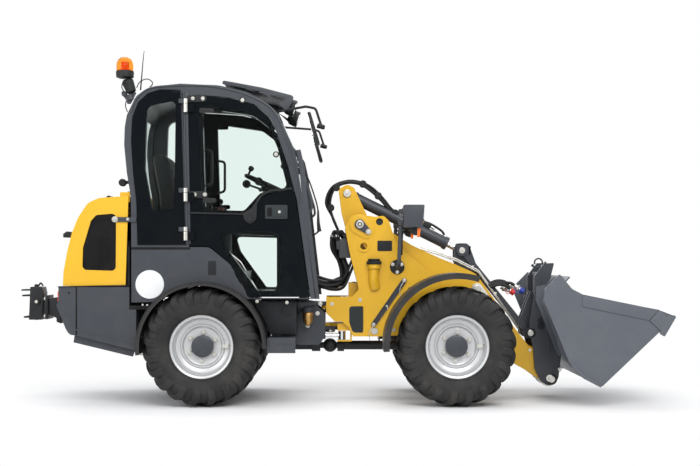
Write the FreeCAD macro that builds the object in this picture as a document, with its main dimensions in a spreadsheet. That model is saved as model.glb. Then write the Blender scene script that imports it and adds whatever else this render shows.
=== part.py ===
"""Compact articulated wheel loader with a cab, a parallel loader linkage, a quick hitch and a bucket.

Millimetres. +X is the direction of travel, +Y the machine's left and +Z up. The origin is on the ground,
under the middle of the machine's box.
"""
import FreeCAD, Part
import math
import os
from FreeCAD import Placement, Rotation, Vector

# ------------------------------------------------------------------ driving dimensions
SIZES = {
    # stance
    "wheelbase": 1712, "hinge_x": -45, "track": 890, "run_gap": 0.4, "side_gap": 3,
    # wheels
    "tyre_radius": 405, "tyre_width": 290, "tyre_wall": 26, "bead_radius": 197, "rim_flange": 213.5,
    "rim_width": 250, "rim_wall": 7, "rim_well": 162, "disc_depth": 108, "disc_wall": 11, "hub_radius": 92,
    "hub_length": 62, "cap_radius": 79, "cap_length": 34, "spindle_radius": 34,
    # axles
    "axle_radius": 62, "diff_radius": 135, "diff_width": 210, "axle_pad": 84,
    # rear chassis
    "frame_half": 200, "frame_wall": 16, "frame_top": 690, "frame_bottom": 489, "frame_rear_x": -1740,
    "fork_wall": 25, "fork_rise": 75, "fork_radius": 62, "lug_wall": 24, "hinge_pin": 26,
    # engine, counterweight and hood
    "engine_length": 310, "engine_width": 600, "engine_height": 430, "engine_x": -1735,
    "body_half": 500, "hood_inset": 2, "hood_wall": 12, "hood_seam": 812,
    # cab
    "cab_half": 490, "cab_wall": 40, "cab_floor": 735, "floor_wall": 25, "deck_height": 880,
    "glass_wall": 6, "door_gap": 8, "door_hinge_x": -1012, "door_hinge_out": 12, "hood_hinge_x": -1400,
    "hood_hinge_z": 1438, "fender_wall": 8, "fender_gap": 19,
    "lower_split": 1061, "roof_split": 2098, "beacon_x": -1458, "beacon_top": 2390,
    # loader
    "tower_half": 152, "tower_wall": 16, "ear_half": 84, "ear_wall": 22, "arm_half": 130, "arm_wall": 28,
    "link_half": 78, "link_wall": 18, "lever_half": 56, "lever_wall": 18, "eye_half": 34,
    "hitch_half": 156, "hitch_wall": 20, "pin_radius": 25, "eye_radius": 44, "collar_radius": 64,
    "bucket_lip_x": 2247, "bucket_half": 625, "bucket_wall": 9, "bucket_side": 10,
    "tilt_bore": 42, "tilt_rod": 22, "lift_bore": 45, "lift_rod": 25, "steer_bore": 27, "steer_rod": 15,
    "steer_z": 454,
}

doc = FreeCAD.newDocument("wheel_loader")
sheet = doc.addObject("Spreadsheet::Sheet", "sizes")
for row, (alias, value) in enumerate(SIZES.items(), 1):
    sheet.set("A%d" % row, alias)
    sheet.set("B%d" % row, str(value))
    sheet.setAlias("B%d" % row, alias)
doc.recompute()


class Sizes:
    """The sheet's values by name."""

    def __getattr__(self, alias):
        return float(sheet.get(alias))


S = Sizes()
MIRROR_Y = Vector(0, 1, 0)
FACING = {  # sketch planes: sketch x, y and outward normal
    "XZ": Rotation(Vector(1, 0, 0), 90),   # x, z, -y
    "XY": Rotation(),                      # x, y, +z
    "YZ": Rotation(0.5, 0.5, 0.5, 0.5),    # y, z, +x
}
pieces = {}


# ------------------------------------------------------------------ building blocks
def bind(obj, **formulas):
    """Bind properties to sheet cells: a formula names cells without their sheet."""
    for prop, formula in formulas.items():
        words = formula.replace("(", "( ").replace(")", " )").split(" ")
        linked = ["sizes." + word if word in SIZES else word for word in words]
        obj.setExpression(prop, " ".join(linked))
    return obj


def rounded(points):
    """Edges of a closed outline. A point (u, v, r) has its corner rounded with a tangent arc."""
    starts, ends, arcs = [], [], []
    count = len(points)
    for i, point in enumerate(points):
        here = Vector(point[0], point[1], 0)
        if len(point) < 3:
            starts.append(here)
            ends.append(here)
            arcs.append(None)
            continue
        before = Vector(points[i - 1][0], points[i - 1][1], 0)
        after = Vector(points[(i + 1) % count][0], points[(i + 1) % count][1], 0)
        to_before = (before - here).normalize()
        to_after = (after - here).normalize()
        half = to_before.getAngle(to_after) / 2
        if half > 0.49 * math.pi:
            starts.append(here)
            ends.append(here)
            arcs.append(None)
            continue
        reach = min(point[2] / math.tan(half), 0.49 * (before - here).Length, 0.49 * (after - here).Length)
        radius = reach * math.tan(half)
        centre = here + (to_before + to_after).normalize() * (radius / math.sin(half))
        middle = centre + (here - centre).normalize() * radius
        starts.append(here + to_before * reach)
        ends.append(here + to_after * reach)
        arcs.append(Part.Arc(starts[-1], middle, ends[-1]))
    edges = []
    for i in range(count):
        if arcs[i]:
            edges.append(arcs[i])
        edges.append(Part.LineSegment(ends[i], starts[(i + 1) % count]))
    return edges


def sketch(points, plane="XZ", at=0.0, holes=()):
    """A sketch of a closed outline with round holes (u, v, r), on a plane at a distance along its axis."""
    drawn = doc.addObject("Sketcher::SketchObject", "Outline")
    for edge in rounded(points):
        drawn.addGeometry(edge, False)
    for u, v, radius in holes:
        drawn.addGeometry(Part.Circle(Vector(u, v, 0), Vector(0, 0, 1), radius), False)
    axis = {"XZ": Vector(0, at, 0), "XY": Vector(0, 0, at), "YZ": Vector(at, 0, 0)}[plane]
    drawn.Placement = Placement(axis, FACING[plane])
    return drawn


def plate(points, low, thickness, plane="XZ", holes=()):
    """A flat plate: an outline at `low` along the plane's axis, thickened towards + by a size or a formula."""
    body = doc.addObject("Part::Extrusion", "Plate")
    body.Base = sketch(points, plane, low, holes)
    body.DirMode = "Custom"
    body.Dir = {"XZ": Vector(0, 1, 0), "XY": Vector(0, 0, 1), "YZ": Vector(1, 0, 0)}[plane]
    body.Solid = True
    if isinstance(thickness, str):
        bind(body, LengthFwd=thickness)
    else:
        body.LengthFwd = thickness
    return body


def box(low, high):
    """A block between two corners."""
    block = doc.addObject("Part::Box", "Block")
    block.Length, block.Width, block.Height = (b - a for a, b in zip(low, high))
    block.Placement.Base = Vector(*low)
    return block


def rod(start, end, radius):
    """A round bar between two points; the radius is a formula or a number."""
    bar = doc.addObject("Part::Cylinder", "Bar")
    start, end = Vector(*start), Vector(*end)
    bar.Height = (end - start).Length
    bar.Placement = Placement(start, Rotation(Vector(0, 0, 1), end - start))
    if isinstance(radius, str):
        bind(bar, Radius=radius)
    else:
        bar.Radius = radius
    return bar


def cross_rod(x, z, half, radius):
    """A round bar along Y, centred on the middle plane."""
    return rod((x, -half, z), (x, half, z), radius)


def fuse(*parts):
    joined = doc.addObject("Part::MultiFuse", "Joined")
    joined.Shapes = list(parts)
    return joined


def cut(base, *tools):
    result = doc.addObject("Part::Cut", "Cut")
    result.Base = base
    result.Tool = tools[0] if len(tools) == 1 else fuse(*tools)
    return result


def common(base, tool):
    result = doc.addObject("Part::Common", "Common")
    result.Base = base
    result.Tool = tool
    return result


def mirror(source):
    """The same piece on the machine's other side."""
    copy = doc.addObject("Part::Mirroring", "Mirrored")
    copy.Source = source
    copy.Normal = MIRROR_Y
    return copy


def both(source):
    """A piece and its mirror image as one group of separate solids."""
    pair = doc.addObject("Part::Compound", "Pair")
    pair.Links = [source, mirror(source)]
    return pair


def node(label, obj):
    """Name a finished sub-part."""
    obj.Label = label
    pieces[label] = obj
    return obj


def tube(start, end, outer, inner):
    return cut(rod(start, end, outer), rod(start, end, inner))


def along(start, end, distance):
    """The point at a distance from start towards end, in the side view."""
    length = math.dist(start, end)
    return tuple(a + (b - a) * distance / length for a, b in zip(start, end))


def turned(point, centre, degrees):
    angle = math.radians(degrees)
    dx, dz = point[0] - centre[0], point[1] - centre[1]
    return (centre[0] + dx * math.cos(angle) - dz * math.sin(angle),
            centre[1] + dx * math.sin(angle) + dz * math.cos(angle))


def polar(centre, radius, degrees):
    angle = math.radians(degrees)
    return (centre[0] + radius * math.cos(angle), centre[1] + radius * math.sin(angle))


# ------------------------------------------------------------------ places that several pieces share
REAR_X = S.hinge_x - S.wheelbase / 2
FRONT_X = S.hinge_x + S.wheelbase / 2
AXLE_Z = S.tyre_radius
TYRE_OUT = (S.track + S.tyre_width) / 2   # outer face of the tyres
LIFT = (166, 1238)        # lift arm pivot
EAR = (77, 1458)          # tilt cylinder's fixed pin
TOP = (892, 1053)         # pin shared by tilt cylinder, lever and link
LEVER = (993, 783)        # lever's pivot on the arm
UPPER = (1364, 471)       # link's pin on the hitch
LOWER = (1500, 155)       # hitch's pivot on the arm
STEER_FOOT = (-420, -110)  # steering cylinder on the rear half, in plan
STEER_HEAD = (40, -100)   # and on the front half
RAM_FOOT = (127, 791)     # lift cylinder's fixed pin
RAM_HEAD = (844, 710)     # lift cylinder's pin on the arm


# ------------------------------------------------------------------ wheels and axles
def wheel_shapes():
    """Tyre and rim about the Y axis with the outer face towards -Y, centred on the track plane."""
    half, edge = S.tyre_width / 2, S.rim_width / 2
    bead, flange = S.bead_radius, S.rim_flange
    seat = edge - 8
    tyre = [(-seat + S.run_gap, bead), (-seat + S.run_gap, flange + 8), (-half, bead + 95, 60),
            (-half + 8, S.tyre_radius - 40, 20), (-half + 22, S.tyre_radius, 12),
            (half - 22, S.tyre_radius, 12), (half - 8, S.tyre_radius - 40, 20), (half, bead + 95, 60),
            (seat - S.run_gap, flange + 8), (seat - S.run_gap, bead),
            (seat - S.tyre_wall, bead), (seat - S.tyre_wall, flange + 10, 20),
            (half - S.tyre_wall, bead + 95, 50), (half - S.tyre_wall - 8, S.tyre_radius - 62, 30),
            (-half + S.tyre_wall + 8, S.tyre_radius - 62, 30), (-half + S.tyre_wall, bead + 95, 50),
            (-seat + S.tyre_wall, flange + 10, 20), (-seat + S.tyre_wall, bead)]
    top = bead - S.run_gap
    disc = -edge + S.disc_depth
    wall = S.rim_wall
    rim = [(-edge, flange), (-seat, flange), (-seat, top), (-seat + 46, top - 3), (-seat + 62, S.rim_well),
           (seat - 62, S.rim_well), (seat - 46, top - 3), (seat, top), (seat, flange), (edge, flange),
           (edge, flange - 9), (seat + wall, flange - 11), (seat + wall, top - wall), (seat - 42, top - wall - 3),
           (seat - 58, S.rim_well - wall), (disc + S.disc_wall + 26, S.rim_well - wall),
           (disc + S.disc_wall, S.rim_well - 44), (disc + S.disc_wall, S.hub_radius),
           (disc + S.hub_length, S.hub_radius), (disc + S.hub_length, S.spindle_radius + S.run_gap),
           (disc, S.spindle_radius + S.run_gap), (disc - S.cap_length + 8, S.spindle_radius + S.run_gap),
           (disc - S.cap_length + 8, 0), (disc - S.cap_length, 0), (disc - S.cap_length, S.cap_radius - 5),
           (disc - S.cap_length + 5, S.cap_radius), (disc, S.cap_radius), (disc, S.rim_well - 40),
           (disc + 24, S.rim_well - wall), (-seat + 58, S.rim_well - wall), (-seat + 42, top - wall - 3),
           (-seat - wall, top - wall), (-seat - wall, flange - 11), (-edge, flange - 9)]
    return revolved(tyre), revolved(rim)


def revolved(points):
    """A ring turned about the Y axis from points (y, radius)."""
    ring = doc.addObject("Part::Revolution", "Turned")
    drawn = sketch([(radius, y) + tuple(rest) for y, radius, *rest in points], "XY")
    ring.Source = drawn
    ring.Axis = Vector(0, 1, 0)
    ring.Base = Vector(0, 0, 0)
    ring.Angle = 360
    ring.Solid = True
    return ring


def placed_copy(source, label, x, y, z, flip):
    """A separate node of the same shape, put at its place; flipped for the left side."""
    copy = doc.addObject("Part::Mirroring", "Copy") if flip else doc.addObject("Part::Compound", "Copy")
    if flip:
        copy.Source, copy.Normal = source, MIRROR_Y
    else:
        copy.Links = [source]
    copy.Placement.Base = Vector(x, y, z)
    return node(label, copy)


def wheels():
    tyre, rim = wheel_shapes()
    for end, x in (("front", FRONT_X), ("rear", REAR_X)):
        for side, sign in (("left", 1), ("right", -1)):
            y = sign * S.track / 2
            placed_copy(tyre, "tyre_%s_%s" % (end, side), x, y, AXLE_Z, sign > 0)
            placed_copy(rim, "rim_%s_%s" % (end, side), x, y, AXLE_Z, sign > 0)


def axle(label, x, pad_top):
    """Housing with differential, spring pads up to its frame, and spindles into the hubs."""
    hub_inner = S.track / 2 + S.rim_width / 2 - S.disc_depth - S.hub_length
    spindle_end = hub_inner + S.hub_length + S.cap_length - 12
    pads = [box((x - S.axle_pad / 2, sign * (S.frame_half - 40) - 30, AXLE_Z + 20),
                (x + S.axle_pad / 2, sign * (S.frame_half - 40) + 30, pad_top)) for sign in (1, -1)]
    return node(label, fuse(
        cross_rod(x, AXLE_Z, hub_inner - S.side_gap, "axle_radius"),
        cross_rod(x, AXLE_Z, spindle_end, "spindle_radius"),
        cross_rod(x, AXLE_Z, S.diff_width / 2, "diff_radius"), *pads))


# ------------------------------------------------------------------ rear half
def rear_chassis():
    """Two side plates, cross plates and the fork of the centre hinge."""
    top, low, wall = S.frame_top, S.frame_bottom, S.frame_wall
    front = S.hinge_x - 34
    side = plate([(S.frame_rear_x, low + 60), (S.frame_rear_x + 90, low), (-330, low), (-268, 392),
                  (front - 40, 392, 30), (front, 450, 30), (front, top - 74, 40), (front - 90, top, 60),
                  (S.frame_rear_x, top)], S.frame_half - wall, "frame_wall")
    inside = S.frame_half - wall
    cross = [box((x, -inside, low + 20), (x + 14, inside, top)) for x in (S.frame_rear_x + 10, -1330, -620)]
    web_x = S.hinge_x - 190
    middle = (S.frame_bottom + S.frame_top) / 2
    web = cut(box((web_x, -inside, 430), (web_x + 16, inside, top)),
              box((web_x - 5, -168, 425), (web_x + 25, -40, S.steer_z + S.steer_bore + 6)))
    fork = [(web_x + 8, -inside), (web_x + 8, inside), (web_x + 22, 120), (web_x + 45, 66), (S.hinge_x, S.fork_radius),
            (S.hinge_x + S.fork_radius, S.fork_radius, S.fork_radius - 1),
            (S.hinge_x + S.fork_radius, -S.fork_radius, S.fork_radius - 1),
            (S.hinge_x, -S.fork_radius), (web_x + 45, -66), (web_x + 22, -120)]
    x, y = STEER_FOOT
    ram = [box((x - 34, -S.frame_half + 4, S.steer_z + sign * 38 - 5), (x + 34, y + 30, S.steer_z + sign * 38 + 5))
           for sign in (1, -1)]
    ram += [box((x - 34, -S.frame_half, S.steer_z - 43), (x + 34, -inside, low + 10)),
            rod((x, y, S.steer_z - 48), (x, y, S.steer_z + 48), 14)]
    mounts = [box((x - 30, sign * 192 - 24, top - 2), (x + 30, sign * 192 + 24, high - S.run_gap)) for sign in (1, -1)
              for x, high in ((-230, S.cab_floor), (-600, S.cab_floor), (-1320, S.deck_height))]
    forks = []
    for sign in (1, -1):
        low_face = middle + sign * S.fork_rise - (S.fork_wall if sign < 0 else 0)
        forks.append(plate(fork, low_face, "fork_wall", "XY", [(S.hinge_x, 0, S.hinge_pin + S.run_gap)]))
    skid = plate([(-1756, 470), (-1765, 433), (-1366, 337), (-1340, 372),
                  (-1340, low + 5), (-1756, low + 66)], -S.frame_half, 2 * S.frame_half)
    skid_hollow = plate([(-1742, 700), (-1742, 452), (-1376, 365), (-1352, 400), (-1352, 700)], 16 - S.frame_half,
                        2 * S.frame_half - 32)
    steps = [step(sign) for sign in (1, -1)]
    return node("rear_chassis", fuse(side, mirror(side), *cross, web, *forks, cut(skid, skid_hollow), *steps, *ram,
                              *mounts))


def step(sign):
    """Saw-tooth footstep on two arms from the chassis side."""
    outer, inner = 560, 330
    tread = box((-462, inner, 411), (-272, outer, 419))
    front = box((-462, outer - 8, 365), (-272, outer, 465))
    back = box((-462, inner, 411), (-272, inner + 8, 465))
    arm = box((-300, S.frame_half - S.frame_wall, 430), (-274, inner + 4, 462))
    ladder = fuse(tread, front, back, arm)
    return ladder if sign > 0 else mirror(ladder)


def engine():
    low = S.frame_top + S.run_gap
    half = S.engine_width / 2
    node("engine", box((S.engine_x, -half, low), (S.engine_x + S.engine_length, half, low + S.engine_height)))


def counterweight():
    """Grey rear casting that wraps the chassis end."""
    seam = S.hood_seam - S.door_gap
    outline = [(-1868, seam), (-1392, seam), (-1392, 677), (-1345, 677), (-1345, 430), (-1345, 375), (-1749, 478),
               (-1794, 484, 40), (-1819, 523), (-1883, 684), (-1868, 703)]
    whole = plate(outline, -S.body_half, 2 * S.body_half)
    slot_half = S.frame_half + S.run_gap
    slot = box((S.frame_rear_x - S.run_gap - 26, -slot_half, 300), (-1300, slot_half, 900))
    bay = box((S.engine_x - 12, -S.engine_width / 2 - 12, S.frame_top), (-1300, S.engine_width / 2 + 12, 900))
    arch = cross_rod(REAR_X, AXLE_Z, S.body_half + 10, S.tyre_radius + S.fender_gap + S.fender_wall + S.run_gap)
    node("counterweight", cut(whole, slot, bay, arch))


def tow_hitch():
    """Bracket on the casting, jaw with two lips and a drop pin."""
    x = -1883 + 60
    bracket = plate([(x - 170, 715), (x - 170, 560), (x - 90, 530), (x, 560), (x, 715)], -70, 140)
    jaw = plate([(-1980, 780), (-2197, 796, 10), (-2235, 720), (-2175, 692), (-2090, 692), (-2090, 590),
                 (-2225, 590), (-2225, 575), (-1980, 575)], -60, 120)
    pin = rod((-2150, 0, 580), (-2150, 0, 700), 16)
    lever = rod((-2150, 0, 770), (-2247, 0, 745), 9)
    body = cut(fuse(bracket, jaw, pin, lever), counterweight_front())
    node("tow_hitch", body)


def counterweight_front():
    return plate([(-1700, 806), (-1868, 806), (-1868 - 0.4, 703), (-1883 - 0.4, 684), (-1819 - 0.4, 523),
                  (-1794, 484), (-1700, 484)], -200, 400)


def hood():
    """Hinged engine cover: a shell with side grilles."""
    outline = [(-1841, S.hood_seam), (-1837, 906), (-1812, 1044), (-1781, 1166), (-1739, 1272, 60), (-1673, 1371, 80),
               (-1600, 1404, 60), (-1400, 1419), (-1420, S.hood_seam)]
    half, wall = (S.cab_half - S.hood_inset), S.hood_wall
    skin = plate(outline, -half, 2 * half)
    inner = [(-1841 + wall, S.hood_seam - 5), (-1837 + wall, 906), (-1812 + wall, 1044), (-1781 + wall, 1162),
             (-1739 + wall, 1264, 60), (-1673 + 8, 1360, 80), (-1600, 1404 - wall, 60), (-1380, 1417 - wall),
             (-1380, S.hood_seam - 5)]
    hollow = plate(inner, -half + wall, 2 * (half - wall))
    grille = [(-1482, 1300, 20), (-1616, 1290, 20), (-1652, 1250, 20), (-1706, 1068, 20), (-1710, 920, 20), (-1484, 913, 20)]
    window = plate(grille, -half - 1, 2 * half + 2)
    mesh = plate(grille, half - wall, 4)
    pivot = (S.hood_hinge_x, S.hood_hinge_z)
    lug = fuse(box((pivot[0] - 60, S.cab_half - 35, pivot[1] - 60), (pivot[0] + 7, S.cab_half - 25, pivot[1] + 7)),
               rod((pivot[0], S.cab_half - 59, pivot[1]), (pivot[0], S.cab_half - 25, pivot[1]), 8))
    node("hood", fuse(cut(skin, hollow, window), lug, mirror(lug)))
    node("hood_grilles", both(mesh))


# ------------------------------------------------------------------ cab
CAB_OUTLINE = [(-1380, 700), (-1380, 1061), (-1384, 1413), (-1411, 1575), (-1429, 1764), (-1425, 1882),
               (-1411, 1963, 60), (-1348, 2095, 90), (-1240, 2156, 120), (-1051, 2175), (-793, 2164, 300),
               (-587, 2117, 200), (-400, 1991, 120), (-277, 1720, 200), (-227, 1390), (-136, 724), (-600, 724)]
DOOR_OUTLINE = [(-1030, 2098), (-984, 1081), (-854, 1081, 60), (-721, 973, 40), (-589, 744, 20), (-570, 738),
                (-182, 738), (-272, 1390), (-333, 1621, 100), (-392, 1792, 120), (-445, 1942, 120),
                (-560, 2040, 120), (-715, 2077, 150)]
UPPER_WINDOW = [(-900, 2010, 30), (-880, 1325, 30), (-620, 1318, 40), (-510, 1440, 60), (-330, 1475, 30),
                (-395, 1740, 60), (-455, 1880, 60), (-560, 1960, 80)]
LOWER_WINDOW = [(-760, 1160, 25), (-400, 1150, 25), (-400, 780, 25), (-530, 780, 25), (-725, 1050, 30)]
QUARTER_WINDOW = [(-1275, 2020, 60), (-1080, 2060, 30), (-1090, 1320, 30), (-1240, 1320, 30), (-1290, 1600, 60)]


def grown(points, by):
    """An outline moved outwards by a distance, corner by corner."""
    flat = [Vector(p[0], p[1], 0) for p in points]
    turn = sum(a.cross(b).z for a, b in zip(flat, flat[1:] + flat[:1]))
    sign = 1 if turn > 0 else -1
    moved = []
    for i, here in enumerate(flat):
        into = (here - flat[i - 1]).normalize()
        out = (flat[(i + 1) % len(flat)] - here).normalize()
        normal_in = Vector(into.y, -into.x, 0) * sign
        normal_out = Vector(out.y, -out.x, 0) * sign
        middle = normal_in + normal_out
        shift = middle * (2 * by / middle.Length ** 2)
        radius = [max(points[i][2] + by, 2)] if len(points[i]) > 2 else []
        moved.append([here.x + shift.x, here.y + shift.y] + radius)
    return moved


DOOR_HINGES = (1148, 1410, 2010)


def cab():
    """Cab shell, cut into its grey lower part, its black frame and its roof, with glass and doors."""
    half, wall = S.cab_half, S.cab_wall
    skin_half = half - S.glass_wall
    shell = plate(CAB_OUTLINE, -skin_half, 2 * skin_half)
    floor = S.cab_floor + S.floor_wall
    deck = S.deck_height + S.floor_wall
    room = [(-1380 + wall, deck), (-1384 + wall, 1413), (-1411 + wall, 1575), (-1429 + wall, 1764), (-1425 + wall, 1870),
            (-1370, 1990, 60), (-1310, 2070, 80), (-1220, 2110, 100), (-1051, 2130), (-800, 2120, 250),
            (-615, 2076, 180), (-436, 1965, 120), (-318, 1706, 180), (-268, 1390), (-182, floor), (-640, floor),
            (-640, deck)]
    cavity = plate(room, -skin_half + wall, 2 * (skin_half - wall))
    under = plate([(-1380 - 1, S.deck_height), (-665, S.deck_height), (-665, S.cab_floor), (-100, S.cab_floor),
                   (-100, 600), (-1381, 600)], -skin_half + wall, 2 * (skin_half - wall))
    arch = cross_rod(REAR_X, AXLE_Z, half + 10, S.tyre_radius + S.fender_gap + S.fender_wall + S.run_gap)
    openings = [
        both(plate(grown(DOOR_OUTLINE, S.door_gap), half - 70, 70)),
        both(plate(QUARTER_WINDOW, half - 70, 70)),
        plate([(-S.cab_half + 90, 820, 30), (S.cab_half - 90, 820, 30), (S.cab_half - 90, 1960, 60),
               (-S.cab_half + 90, 1960, 60)], -420, 420, "YZ"),
        plate([(-S.cab_half + 80, 1080, 30), (S.cab_half - 80, 1080, 30), (S.cab_half - 80, 2000, 60),
               (-S.cab_half + 80, 2000, 60)], -1450, 160, "YZ")]
    hollow = cut(shell, cavity, under, arch, *openings)
    reach = half + 50
    lower_zone = plate([(-1500, 500), (-100, 500), (-100, 820), (-500, 820), (-600, 900), (-650, S.lower_split),
                        (-1500, S.lower_split)], -reach, 2 * reach)
    roof_zone = plate([(-1500, S.roof_split), (-1500, 2300), (-200, 2300), (-200, 1965), (-430, 1965), (-560, 2050),
                       (-720, S.roof_split)], -reach, 2 * reach)
    node("cab_lower", common(hollow, lower_zone))
    node("roof", common(hollow, roof_zone))
    knuckles = []
    for height in DOOR_HINGES:
        at = (S.door_hinge_x, half + S.door_hinge_out)
        low, high = height + 31, height + 60
        eye = fuse(rod((*at, low), (*at, high), 15),
                   box((at[0] - 46, skin_half + S.run_gap, low), (at[0], at[1] + 8, high)),
                   box((at[0] - 46, skin_half - 6, low), (at[0] - 29, at[1], high)))
        knuckles.append(both(cut(eye, rod((*at, height), (*at, height + 70), 9 + S.run_gap))))
    pivot = (S.hood_hinge_x, S.hood_hinge_z)
    lug = cut(box((pivot[0] - 13, half - 56, pivot[1] - 12), (-1380, half - 42, pivot[1] + 12)),
              cross_rod(pivot[0], pivot[1], half, 8 + S.run_gap))
    node("cab_frame", fuse(cut(hollow, lower_zone, roof_zone), *knuckles, both(lug)))
    cab_glass()
    doors()


def cab_glass():
    """Windscreen, rear window and the two quarter panes, bonded on the outside of the frame."""
    wall, gap = S.glass_wall, S.run_gap
    quarter = plate(grown(QUARTER_WINDOW, 16), S.cab_half - wall + gap, wall - gap)
    front = pane(CAB_OUTLINE[-5:-1], 800, 1980, -420, gap)
    rear = pane(CAB_OUTLINE[1:8], 1070, 2010, -1450, -gap)
    glass = doc.addObject("Part::Compound", "Panes")
    glass.Links = [quarter, mirror(quarter), front, rear]
    node("cab_glass", glass)


def pane(points, low, high, back_x, gap):
    """A pane that lies on the cab's front or rear outline between two heights."""
    sign = 1 if gap > 0 else -1
    near = [(p[0] + gap, p[1]) for p in points]
    far = [(p[0] + gap + sign * S.glass_wall, p[1]) for p in points]
    sheet_body = plate(near + far[::-1], -S.cab_half + 60, 2 * S.cab_half - 120)
    return common(sheet_body, box((back_x, -S.cab_half, low), (back_x + 400, S.cab_half, high)))


def doors():
    """Door frames with cut windows, and their panes, bonded on the outside."""
    skin = S.cab_half - S.glass_wall
    panel = cut(plate(DOOR_OUTLINE, skin - S.cab_wall, "cab_wall"),
                plate(UPPER_WINDOW, 300, 300), plate(LOWER_WINDOW, 300, 300))
    at = (S.door_hinge_x, S.cab_half + S.door_hinge_out)
    leaves = []
    for height in DOOR_HINGES:
        low, high = height - 30, height + 28
        leaves += [rod((*at, low), (*at, height + 56), 9), rod((*at, low), (*at, high), 15),
                   box((at[0], skin + S.run_gap, low), (at[0] + 60, at[1] + 8, high)),
                   box((at[0] + 36, skin - 4, low), (at[0] + 60, at[1], high))]
    frame = fuse(panel, *leaves)
    panes = doc.addObject("Part::Compound", "Panes")
    panes.Links = [plate(grown(window, 26), skin + S.run_gap, S.glass_wall - S.run_gap)
                   for window in (UPPER_WINDOW, LOWER_WINDOW)]
    for label, shape in (("door", frame), ("door_glass", panes)):
        node(label + "_right", mirror(shape))
        left = doc.addObject("Part::Compound", "Copy")
        left.Links = [shape]
        node(label + "_left", left)


def cab_inside():
    """Seat on its pedestal, and the steering column with its wheel."""
    deck = S.deck_height + S.floor_wall + S.run_gap
    node("seat_base", fuse(box((-1190, -180, deck), (-860, 180, deck + 60)),
                           box((-1140, -130, deck + 60), (-900, 130, deck + 200))))
    cushion = plate([(-1215, deck + 200.4), (-770, deck + 200.4, 40), (-770, deck + 320, 50), (-1100, deck + 300, 40),
                     (-1190, 1740, 50), (-1300, 1740, 50)], -225, 450)
    node("seat", cushion)
    floor = S.cab_floor + S.floor_wall + S.run_gap
    centre, tilt = (-490, 1520), 24
    rim = doc.addObject("Part::Torus", "SteeringRim")
    rim.Radius1, rim.Radius2 = 170, 14
    rim.Placement = Placement(Vector(centre[0], 0, centre[1]), Rotation(Vector(0, 1, 0), tilt))
    foot = (-300, floor)
    column = plate([(foot[0] - 60, floor), (foot[0] + 60, floor), (foot[0] - 40, 1330), (centre[0] + 20, 1480),
                    (centre[0] - 20, 1460), (foot[0] - 110, 1290)], -70, 140)
    axis = Vector(math.sin(math.radians(tilt)), 0, math.cos(math.radians(tilt)))
    hub = rod((centre[0] - 40 * axis.x, 0, centre[1] - 40 * axis.z), (centre[0] + 8 * axis.x, 0, centre[1] + 8 * axis.z), 28)
    along_wheel = Vector(axis.z, 0, -axis.x)
    spoke_a = rod((centre[0] - 170 * along_wheel.x, 0, centre[1] - 170 * along_wheel.z), (centre[0], 0, centre[1]), 9)
    spoke_b = rod((centre[0], -170, centre[1]), (centre[0], 170, centre[1]), 9)
    node("steering_column", fuse(rim, column, hub, spoke_a, spoke_b))


def fender(label, x, inner, wall, lip, start, end, inner_y, outer_y):
    """Arched mudguard with an outer lip, between two angles about the wheel centre."""
    centre = (x, AXLE_Z)
    band = tube((x, inner_y, AXLE_Z), (x, outer_y, AXLE_Z), inner + wall, inner)
    edge = tube((x, outer_y - 8, AXLE_Z), (x, outer_y, AXLE_Z), inner + wall, inner + wall - lip)
    reach = 2 * inner
    span = [centre] + [polar(centre, reach, start + (end - start) * i / 6) for i in range(7)]
    sector = plate(span, inner_y - 5, outer_y - inner_y + 10)
    return common(fuse(band, edge), sector)


def fenders():
    inner = S.tyre_radius + S.fender_gap
    rear = fender("rear", REAR_X, inner, S.fender_wall, 22, -1, 187, 300, TYRE_OUT + 2)
    node("rear_fenders", both(rear))
    front_inner = S.tyre_radius + 82
    front = fender("front", FRONT_X, front_inner, S.fender_wall, 40, 72.5, 183.5, 310, TYRE_OUT + 2)
    bracket_at = polar((FRONT_X, AXLE_Z), front_inner - 14, 128)
    bracket = rod((bracket_at[0], S.tower_half + S.run_gap, bracket_at[1]), (bracket_at[0], TYRE_OUT - 30, bracket_at[1]), 18)
    node("front_fenders", both(fuse(front, bracket)))


def lamps_and_mirrors():
    node("tail_lamps", both(box((-1868 - 14, 330, 706), (-1868 - S.run_gap, 470, 776))))
    # beacon on its cranked stalk
    x, y, top = S.beacon_x, 190 - S.cab_half, S.beacon_top
    return fuse(rod((x, y, top - 100), (x, y, top), 62), rod((x, y, top - 150), (x, y, top - 100), 50),
                rod((x, y, top - 145), (x + 38, y, top - 270), 22),
                box((x + 18, y - 30, top - 290), (x + 128, y + 30, top - 265)),
                box((x + 98, y - 30, top - 310), (x + 123, y + 30, top - 265)))


def roof_gear():
    beacon = cut(lamps_and_mirrors(), grown_cab())
    node("beacon", beacon)
    bar = plate([(-775, 2178), (-700, 2188), (-300, 2100), (-300, 2060), (-700, 2140), (-775, 2150)], -400, 800)
    lamp = rod((-330, 300, 2040), (-290, 300, 2025), 60)
    stay = box((-330, 285, 2040), (-300, 315, 2110))
    lamps = fuse(bar, lamp, stay, mirror(lamp), mirror(stay))
    node("work_lamps", cut(lamps, grown_cab()))
    arm = fuse(rod((-440, 470, 1975), (-240, 660, 2000), 10), rod((-240, 660, 2000), (-130, 660, 1990), 10),
               rod((-130, 660, 1990), (-110, 660, 1880), 10))
    glass = plate([(-190, 1945, 20), (-120, 1965, 20), (-80, 1760, 20), (-150, 1740, 20)], 600, 130)
    node("mirrors", both(cut(fuse(arm, glass), grown_cab())))


def grown_cab():
    """The cab's outer form with the seat clearance, to trim what is fixed on it."""
    half = S.cab_half - S.glass_wall + S.run_gap
    return plate(grown(CAB_OUTLINE, S.run_gap), -half, 2 * half)


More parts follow.
